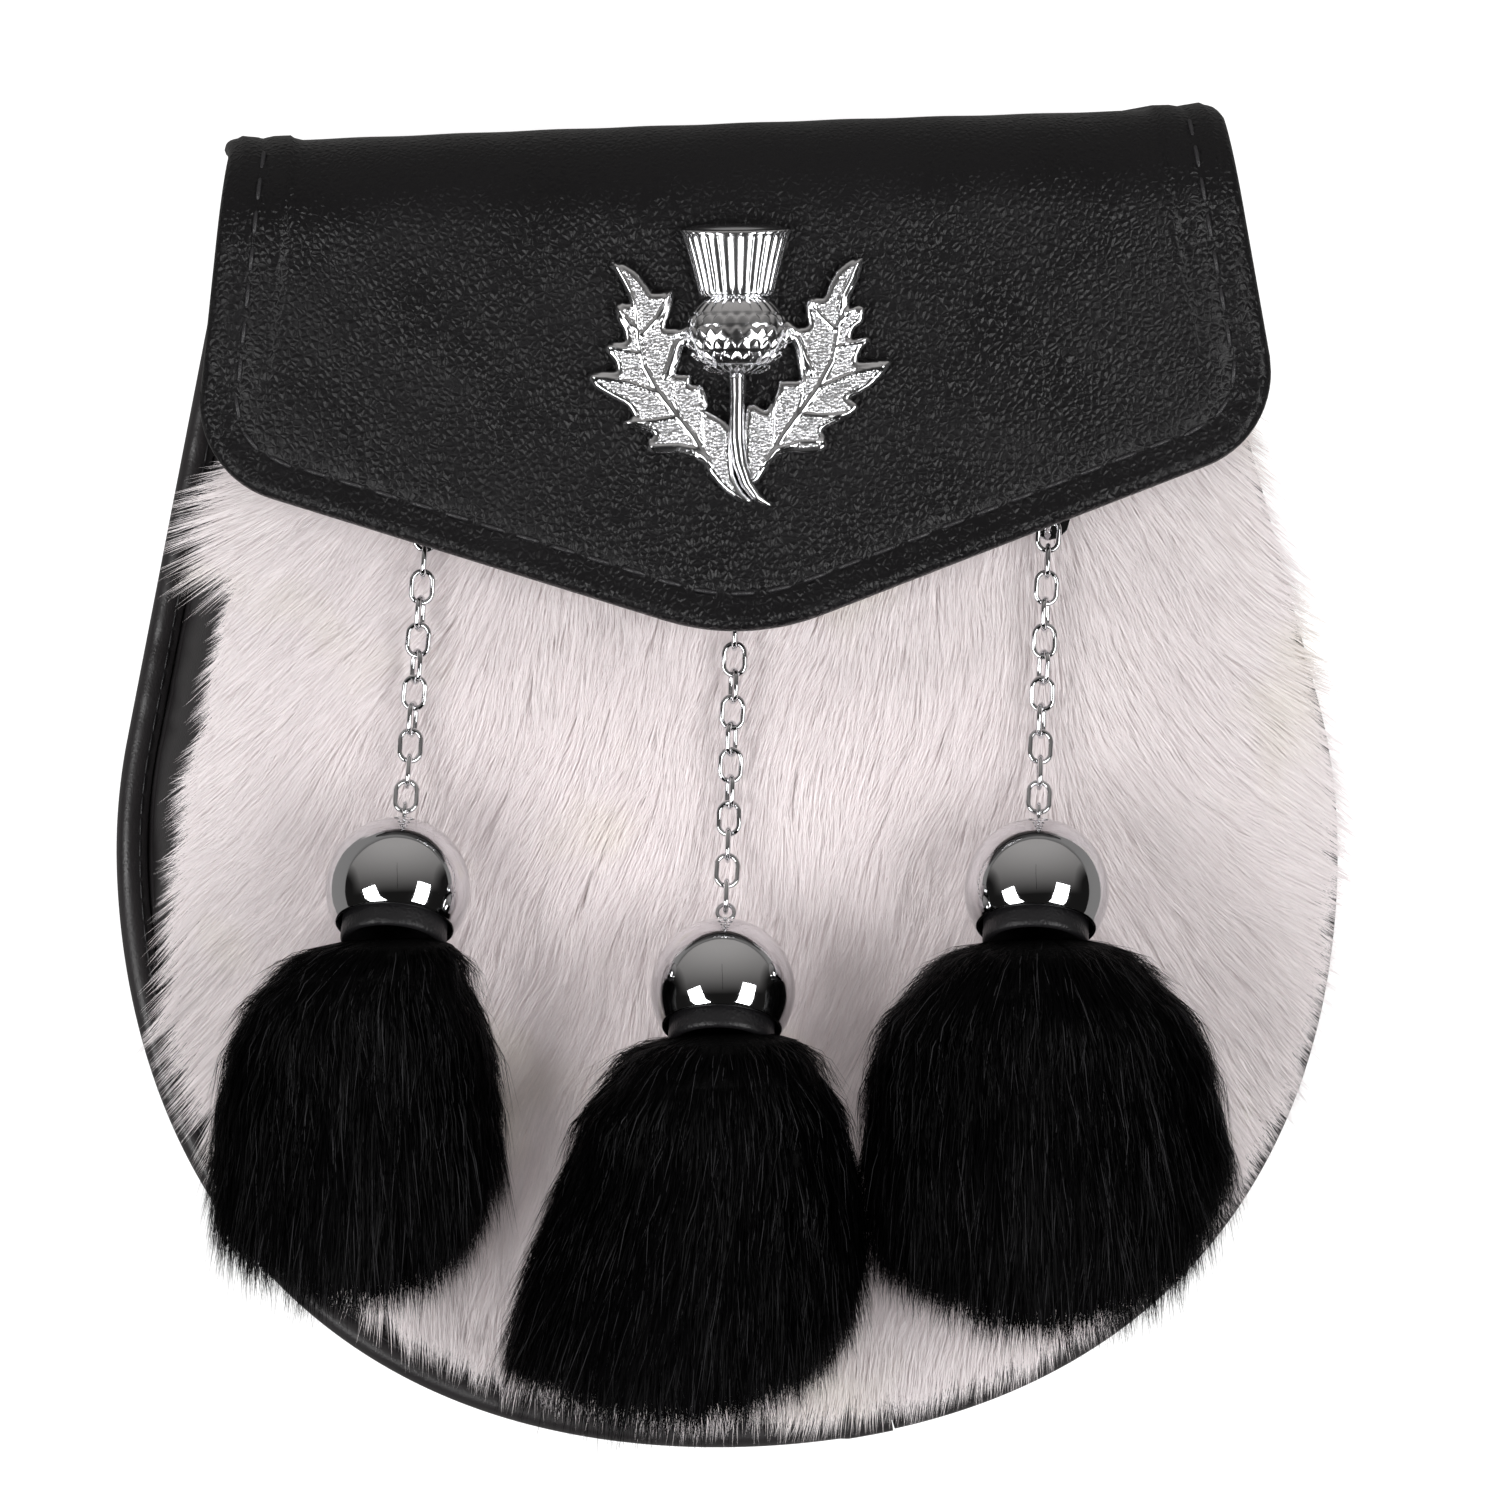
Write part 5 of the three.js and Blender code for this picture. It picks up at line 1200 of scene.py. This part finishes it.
def stem():
    """The stalk: a half-round bar from the globe that curls to a point on the right."""
    line = np.array([(0, -6.3), (0, -10), (-0.1, -13), (-0.1, -16.5), (0.3, -20), (1.4, -23.4), (3.0, -25.7), (5.2, -27.0)])
    wide = [1.35, 1.3, 1.3, 1.3, 1.25, 1.1, 0.8, 0.15]
    fine = np.linspace(0, len(line) - 1, 44)
    xs, ys, ws = (np.interp(fine, range(len(line)), v) for v in (line[:, 0], line[:, 1], wide))
    places = []
    for i in range(len(fine)):
        a, b = max(0, i - 1), min(len(fine) - 1, i + 1)
        run = np.array((xs[b] - xs[a], ys[b] - ys[a]))
        run /= np.hypot(*run)
        for t in np.linspace(0, 2 * math.pi, 17)[:-1]:
            across, high = math.cos(t) * ws[i], 1.2 + math.sin(t) * min(1.2, ws[i]) * 1.25
            places.append((xs[i] - run[1] * across, ys[i] + run[0] * across, max(0, high)))
    faces = ring_faces(len(fine), 16) + [tuple(range(16))[::-1], tuple((len(fine) - 1) * 16 + i for i in range(16))]
    return np.array(places), faces, np.zeros(len(places))


def joined_badge():
    """All of the casting's shapes as one piece."""
    places, faces, ground = [], [], []
    start = 0
    for p, f, g in (leaf(-1), leaf(1), globe(), crown(), stem()):
        places.append(p)
        faces += [tuple(i + start for i in face) for face in f]
        ground.append(g)
        start += len(p)
    piece = mesh_piece("thistle", on_badge(np.vstack(places)), faces, badge_chrome)
    piece.data.attributes.new("ground", "FLOAT", "POINT").data.foreach_set("value", np.concatenate(ground))
    return turned_outwards(piece)


keep(joined_badge(), "thistle_badge", slot="chrome")

# %% [markdown]
# ## Chains
#
# Each tassel hangs from a short chain of oval links, every link turned a quarter from the one before.
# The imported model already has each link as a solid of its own, so its place and turn are read from its
# corners: the longest way through them is the link's length, the shortest is the way through its hole.
# Geometry Nodes then set one smooth oval link on each place.

# %% Link tree
chain_tree, given, made = new_tree("chain_links", Length="Float", Width="Float", Wire="Float", Finish="Material")
half_circle = node(chain_tree, "GeometryNodeCurvePrimitiveCircle", {"Resolution": 24, "Radius": 1.0})
spot = node(chain_tree, "GeometryNodeInputPosition").outputs["Position"]
parts = node(chain_tree, "ShaderNodeSeparateXYZ", {0: spot}).outputs
bend = maths(chain_tree, "MULTIPLY", maths(chain_tree, "SUBTRACT", given["Width"], given["Wire"]), 0.5)
draw = maths(chain_tree, "MULTIPLY", maths(chain_tree, "SUBTRACT", given["Length"], given["Width"]), 0.5)
pull = maths(chain_tree, "MULTIPLY", maths(chain_tree, "SIGN", parts[0]), draw)
link_x = maths(chain_tree, "ADD", maths(chain_tree, "MULTIPLY", parts[0], bend), pull)
oval_place = node(chain_tree, "ShaderNodeCombineXYZ", {0: link_x, 1: maths(chain_tree, "MULTIPLY", parts[1], bend)}).outputs[0]
oval = node(chain_tree, "GeometryNodeSetPosition", {"Geometry": half_circle.outputs["Curve"], "Position": oval_place}).outputs["Geometry"]
wire_radius = maths(chain_tree, "MULTIPLY", given["Wire"], 0.5)
wire_round = node(chain_tree, "GeometryNodeCurvePrimitiveCircle", {"Resolution": 12, "Radius": wire_radius})
link = node(chain_tree, "GeometryNodeCurveToMesh", {"Curve": oval, "Profile Curve": wire_round.outputs["Curve"]}).outputs["Mesh"]
first = node(chain_tree, "FunctionNodeAlignRotationToVector", {"Vector": field(chain_tree, "along_link")}, axis="X").outputs["Rotation"]
turned = node(chain_tree, "FunctionNodeAlignRotationToVector", {"Rotation": first, "Vector": field(chain_tree, "through_link")}, axis="Z", pivot_axis="X").outputs["Rotation"]
placed = node(chain_tree, "GeometryNodeInstanceOnPoints", {"Points": given["Geometry"], "Instance": link, "Rotation": turned})
smooth = node(chain_tree, "GeometryNodeSetShadeSmooth", {"Geometry": placed.outputs["Instances"]}).outputs["Geometry"]
finished(chain_tree, smooth, given["Finish"], made)


def chain(side, links):
    """All links of one chain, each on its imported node."""
    names = [f"link_{side}_{i:02d}" for i in range(1, links + 1)]
    middles, along, through = [], [], []
    for name in names:
        corners = corners_of(name)
        middle = (corners.max(0) + corners.min(0)) / 2
        _, _, ways = np.linalg.svd(corners - corners.mean(0), full_matrices=False)
        middles.append(corners.mean(0))
        along.append(ways[0] @ axes)
        through.append(ways[2] @ axes)
    mesh = bpy.data.meshes.new("places")
    mesh.from_pydata([tuple(p) for p in to_row(middles)], [], [])
    for key, values in (("along_link", along), ("through_link", through)):
        mesh.attributes.new(key, "FLOAT_VECTOR", "POINT").data.foreach_set("vector", np.ravel(values))
    base = bpy.data.objects.new("places_" + side, mesh)
    bpy.context.scene.collection.objects.link(base)
    piece = grown("chain_" + side, base, chain_tree, Length=0.0059, Width=0.0042, Wire=0.00085, Finish=bell_chrome)
    keep(piece, *names, slot="chrome")


chain("left", 11)
chain("middle", 12)
chain("right", 11)

# %% [markdown]
# ## Domes, cuffs and rings
#
# Each tassel is gripped by a ball-shaped bell. A leather cuff lines the bell's mouth and shows as a
# thin band below it. A small ring on a pin carries the bell. The cuff's corners give the axis.

# %% Bells
dome_radius, dome_wall, mouth = 11.4, 0.8, 6.3


def turned_shape(name, profile, place, axis, finish, around=96):
    """A shape of revolution. profile gives distance along the axis and radius; it closes on itself."""
    axis = np.asarray(axis) / np.linalg.norm(axis)
    side = np.cross(axis, (0, 0, 1))
    side /= np.linalg.norm(side)
    other = np.cross(side, axis)
    rings = []
    for along, radius in profile:
        for t in np.linspace(0, 2 * math.pi, around + 1)[:-1]:
            rings.append(place + axis * along + radius * (math.cos(t) * side + math.sin(t) * other))
    count = len(profile)
    faces = ring_faces(count, around)
    faces += [((count - 1) * around + i, (count - 1) * around + (i + 1) % around, (i + 1) % around, i) for i in range(around)]
    return turned_outwards(mesh_piece(name, rings, faces, finish))


def pendant_frame(side):
    """Middle of the dome and the way towards its ring."""
    cuff, eye = corners_of("cuff_" + side), corners_of("eye_" + side)
    _, _, ways = np.linalg.svd(cuff - cuff.mean(0), full_matrices=False)
    axis = ways[2] * np.sign((eye.mean(0) - cuff.mean(0)) @ ways[2])
    return cuff.mean(0) + axis * 5.95, axis


def dome(side):
    """The bell: a thin ball, open below, with a small hole for its pin and a turned-in lip."""
    middle, axis = pendant_frame(side)
    last = math.asin(-mouth / dome_radius)
    turns = np.linspace(math.asin(math.sqrt(1 - (1 / dome_radius) ** 2)), last, 34)
    outer = [(dome_radius * math.sin(t), dome_radius * math.cos(t)) for t in turns]
    inner_r = dome_radius - dome_wall
    lip = [(-mouth - 0.25, outer[-1][1] - 0.3), (-mouth - 0.2, inner_r * math.cos(last) + 0.25)]
    inner = [(inner_r * math.sin(t), inner_r * math.cos(t)) for t in np.linspace(last, 1.42, 20)]
    return turned_shape("bell_" + side, outer + lip + inner + [(inner_r, 1.0)], middle, axis, bell_chrome)


def cuff(side):
    """The leather band in the bell's mouth, with a rolled lower edge."""
    middle, axis = pendant_frame(side)
    profile = [(-2.3, 7.0), (-2.3, 8.25), (-6.5, 8.3), (-8.6, 8.35), (-9.2, 8.28), (-9.55, 7.95), (-9.6, 7.5), (-9.3, 7.05), (-6.0, 7.0)]
    return turned_shape("cuff_band_" + side, profile, middle, axis, cuff_hide)


def eye(side):
    """The ring and its pin through the top of the bell."""
    middle, axis = pendant_frame(side)
    corners = corners_of("eye_" + side)
    ring = corners[(corners - middle) @ axis > 12.2]
    centre = middle + axis * 13.4
    _, _, ways = np.linalg.svd(ring - ring.mean(0), full_matrices=False)
    through = ways[2] - axis * (ways[2] @ axis)
    through /= np.linalg.norm(through)
    across = np.cross(through, axis)
    places, steps, sides = [], 40, 12
    for i in range(steps):
        t = 2 * math.pi * i / steps
        out = math.cos(t) * axis + math.sin(t) * across
        for j in range(sides):
            s = 2 * math.pi * j / sides
            places.append(centre + out * (1.35 + 0.36 * math.cos(s)) + through * 0.36 * math.sin(s))
    faces = ring_faces(steps, sides) + [((steps - 1) * sides + j, (steps - 1) * sides + (j + 1) % sides, (j + 1) % sides, j) for j in range(sides)]
    start = len(places)
    pin = [(12.3, 0.02), (12.3, 0.5), (11.9, 0.55), (11.75, 1.5), (11.42, 1.7), (11.3, 0.6), (9.6, 0.6), (9.5, 0.02)]
    for along, radius in pin:
        for j in range(16):
            s = 2 * math.pi * j / 16
            places.append(middle + axis * along + radius * (math.cos(s) * through + math.sin(s) * across))
    faces += ring_faces(len(pin), 16, start) + [tuple(start + j for j in range(16))[::-1], tuple(start + (len(pin) - 1) * 16 + j for j in range(16))]
    return turned_outwards(mesh_piece("ring_" + side, places, faces, bell_chrome))


for side in ("left", "middle", "right"):
    keep(dome(side), "dome_" + side, slot="chrome")
    keep(cuff(side), "cuff_" + side, slot="smooth_leather")
    keep(eye(side), "eye_" + side, slot="chrome")
    print(side, "bell at", pendant_frame(side)[0].round(2))

# %% [markdown]
# ## Tassels
#
# A tassel is long black fur, gathered in its cuff and spread over the white fur. A dark core along a
# curved spine gives it body, and the same tree as for the hide grows strands from the core towards its
# lower end, where their tips form a loose fringe.

# %% Tassel core
# Outline of each tassel from the cuff down: height, left edge and right edge.
tassel_outlines = {
    "left": [
        (-11.6, -62.3, -43.9), (-13.6, -67.0, -42.4), (-17.6, -74.5, -39.2), (-23.7, -79.0, -36.9), (-32.4, -81.8, -35.6),
        (-42.4, -82.9, -35.7), (-51.1, -83.2, -37.5), (-58.2, -81.3, -41.0), (-63.3, -77.1, -44.4), (-67.4, -66.3, -50.2),
    ],
    "middle": [
        (-28.2, -11.0, 8.4), (-30.7, -16.3, 12.0), (-36.5, -23.8, 17.5), (-47.3, -28.3, 20.3), (-58.0, -32.2, 21.0),
        (-68.7, -36.2, 19.6), (-75.8, -38.6, 16.8), (-81.6, -35.2, 13.0), (-85.2, -28.9, 7.8), (-88.2, -18.7, 1.3),
    ],
    "right": [
        (-15.2, 38.3, 57.5), (-18.3, 31.4, 64.0), (-22.5, 25.8, 69.5), (-26.1, 22.7, 73.0), (-31.5, 20.2, 75.8),
        (-44.8, 18.6, 78.4), (-53.8, 18.9, 77.8), (-62.8, 20.4, 73.8), (-68.8, 23.8, 70.0), (-71.8, 30.3, 66.3), (-75.8, 40.4, 57.8),
    ],
}
tassel_depth = {"left": (47.0, 43.5), "middle": (50.0, 45.8), "right": (50.6, 46.4)}


def lower_end(side, x):
    """Height of a tassel's lower outline at places across."""
    height, left, right = np.array(tassel_outlines[side]).T
    a, b = left.argmin(), right.argmax()
    return np.interp(x, np.concatenate([left[a:], right[b:][::-1]]), np.concatenate([height[a:], height[b:][::-1]]))


def tassel_rings(side, inside, short_of_end, rows=40, around=48):
    """Rings of a tassel's body, this far inside its outline, with the way its hair runs."""
    height, left, right = np.array(tassel_outlines[side]).T
    middle, axis = pendant_frame(side)
    lip = middle - axis * 8.6
    share = np.linspace(0, 1, rows)
    y = lerp(height[0], height[-1] + short_of_end, share)
    centre_x = np.interp(-y, -height, 0.5 * (left + right))
    half = np.interp(-y, -height, 0.5 * (right - left))
    half = np.maximum(half - inside * smoothstep(share, 0, 0.12), 1.0)
    half[0] = 7.2
    centre_z = np.interp(share, (0, 0.12, 0.5, 1), (lip[2], lip[2] + 0.4, *tassel_depth[side]))
    round_end = np.sqrt(1 - np.clip((share - 0.84) / 0.16, 0, 1) ** 2)
    deep = half * lerp(1.0, 0.62, smoothstep(share, 0, 0.35)) * lerp(0.2, 1, round_end)
    turns = np.linspace(0, 2 * math.pi, around + 1)[:-1]
    places, runs, outs = [], [], []
    for i in range(rows):
        before, after = max(0, i - 1), min(rows - 1, i + 1)
        for t in turns:
            at = [np.array((centre_x[k] + half[k] * math.cos(t), y[k], centre_z[k] + deep[k] * math.sin(t))) for k in (before, after)]
            run = at[1] - at[0]
            places.append((centre_x[i] + half[i] * math.cos(t), y[i], centre_z[i] + deep[i] * math.sin(t)))
            runs.append(run / np.linalg.norm(run))
            out = np.array((math.cos(t), 0, math.sin(t)))
            out = out - runs[-1] * (out @ runs[-1])
            outs.append(out / np.linalg.norm(out))
    return np.array(places), np.array(runs), np.array(outs), np.repeat(share, around)


def tassel_core(side):
    """The dark, soft core of a tassel."""
    places, _, outs, share = tassel_rings(side, 2.8, 10)
    lumps = 0.5 * np.sin(places[:, 0] * 0.8) * np.sin(places[:, 1] * 0.5) + 0.4 * np.sin(places[:, 0] * 2.1 + 1)
    places = places + outs * (lumps * smoothstep(share, 0.15, 0.4))[:, None]
    faces = ring_faces(40, 48) + [tuple(range(48))[::-1], tuple(39 * 48 + i for i in range(48))]
    return turned_outwards(mesh_piece("tassel_core_" + side, places, faces, black_wool))


def tassel_fur(side, seed):
    """The strands of a tassel."""
    places, runs, normal, share = tassel_rings(side, 2.8, 10)
    down = np.array((0, -1, 0))
    comb = lerp(runs, down, 0.6 * smoothstep(share, 0.5, 0.9)[:, None])
    comb = comb + normal * lerp(0.03, 0.10, smoothstep(share, 0.1, 0.8))[:, None]
    comb /= np.linalg.norm(comb, axis=1)[:, None]
    thick = lerp(0.8, 1.0, smoothstep(share, 0, 0.3)) * np.where(normal[:, 2] < -0.35, 0.2, 1.0)
    thick *= lerp(1, 1.5, smoothstep(share, 0.8, 1.0))
    reach = lerp(0.7, 1.0, smoothstep(share, 0.0, 0.35))
    room = (places[:, 1] - lower_end(side, places[:, 0])) / (15.5 * np.maximum(-comb[:, 1], 0.4))
    reach = np.minimum(reach, np.maximum(room, 0.3))
    droop = np.zeros((len(places), 3))
    droop[:, 2] = -2.2 * smoothstep(share, 0.5, 1)
    body = places.reshape(40, 48, 3)
    gone = np.vstack([np.zeros(48), np.cumsum(np.linalg.norm(np.diff(body, axis=0), axis=2), axis=0)])
    hair = 15.5 * reach.reshape(40, 48)
    tips = np.array([[np.interp(gone[:, j] + hair[:, j], gone[:, j], body[:, j, k]) for k in range(3)] for j in range(48)])
    tips = tips.transpose(2, 0, 1).reshape(-1, 3)
    bend = tips - places - comb * hair.reshape(-1, 1)
    droop = lerp(bend, droop, smoothstep(share, 0.35, 0.6)[:, None])
    base = fur_skin(
        "tassel_skin_" + side, places, ring_faces(40, 48), comb=comb, rise=normal, reach=reach, thick=thick, droop=0.001 * droop,
        bow=lerp(1.0, 0.75, smoothstep(share, 0.2, 0.7)),
    )
    return fur(
        "tassel_fur_" + side, base, 30000, Length=0.0155, Width=0.000152, Lift=0.22, Clump=230.0, Gather=0.34, Wander=0.006,
        Stray=0.0020, Seed=seed, Finish=black_fur,
    )


black_wool, wool_tree, wool_shader = new_finish("black_underfur", (0.001, 0.001, 0.001), 0.6, Specular_IOR_Level=0.05)
wool_place = node(wool_tree, "ShaderNodeTexCoord").outputs["Object"]
wool_noise = node(wool_tree, "ShaderNodeTexNoise", {"Vector": wool_place, "Scale": 900, "Detail": 4}).outputs["Fac"]
plug(wool_tree, wool_shader.inputs["Base Color"], mixed(wool_tree, wool_noise, (0.0006, 0.0006, 0.0006, 1), (0.002, 0.0019, 0.002, 1)))
wool_bump = node(wool_tree, "ShaderNodeBump", {"Height": wool_noise, "Distance": 0.0006})
plug(wool_tree, wool_shader.inputs["Normal"], wool_bump.outputs["Normal"])
for side, seed in (("left", 21), ("middle", 22), ("right", 23)):
    keep(tassel_core(side), "tassel_" + side, slot="black_fur")
    keep(tassel_fur(side, seed), slot="black_fur")

# %% [markdown]
# ## Pieces on the back and under the flap
#
# Two leather loops on the back carry a strap. They lie under the pouch, as do the stud and the staples
# under the flap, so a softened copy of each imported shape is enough, with the same leather or chrome.

# %% Softened copies
def softened(node_name, name, finish, width):
    """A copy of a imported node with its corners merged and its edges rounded."""
    import bmesh

    piece = bpy.data.objects.new(name, frame["nodes"][node_name].data.copy())
    bpy.context.scene.collection.objects.link(piece)
    piece.data.name = name
    piece.data.materials.clear()
    piece.data.materials.append(finish)
    work = bmesh.new()
    work.from_mesh(piece.data)
    bmesh.ops.remove_doubles(work, verts=work.verts, dist=1e-6)
    bmesh.ops.dissolve_limit(work, angle_limit=math.radians(1.5), verts=work.verts, edges=work.edges)
    sharp = [e for e in work.edges if len(e.link_faces) == 2 and e.calc_face_angle(0) > math.radians(35)]
    bmesh.ops.bevel(work, geom=sharp, offset=0.001 * width, segments=3, affect="EDGES", clamp_overlap=True)
    bmesh.ops.triangulate(work, faces=work.faces)
    work.to_mesh(piece.data)
    work.free()
    piece.data.polygons.foreach_set("use_smooth", [True] * len(piece.data.polygons))
    piece.data.set_sharp_from_angle(angle=math.radians(40))
    return piece


for side in ("left", "right"):
    keep(softened("belt_loop_" + side, "strap_loop_" + side, grained, 0.45), "belt_loop_" + side, slot="leather")
for side in ("left", "middle", "right"):
    keep(softened("staple_" + side, "staple_plate_" + side, bell_chrome, 0.12), "staple_" + side, slot="chrome")
keep(softened("flap_stud", "stud", bell_chrome, 0.25), "flap_stud", slot="chrome")

# %% [markdown]

# %% End
import json
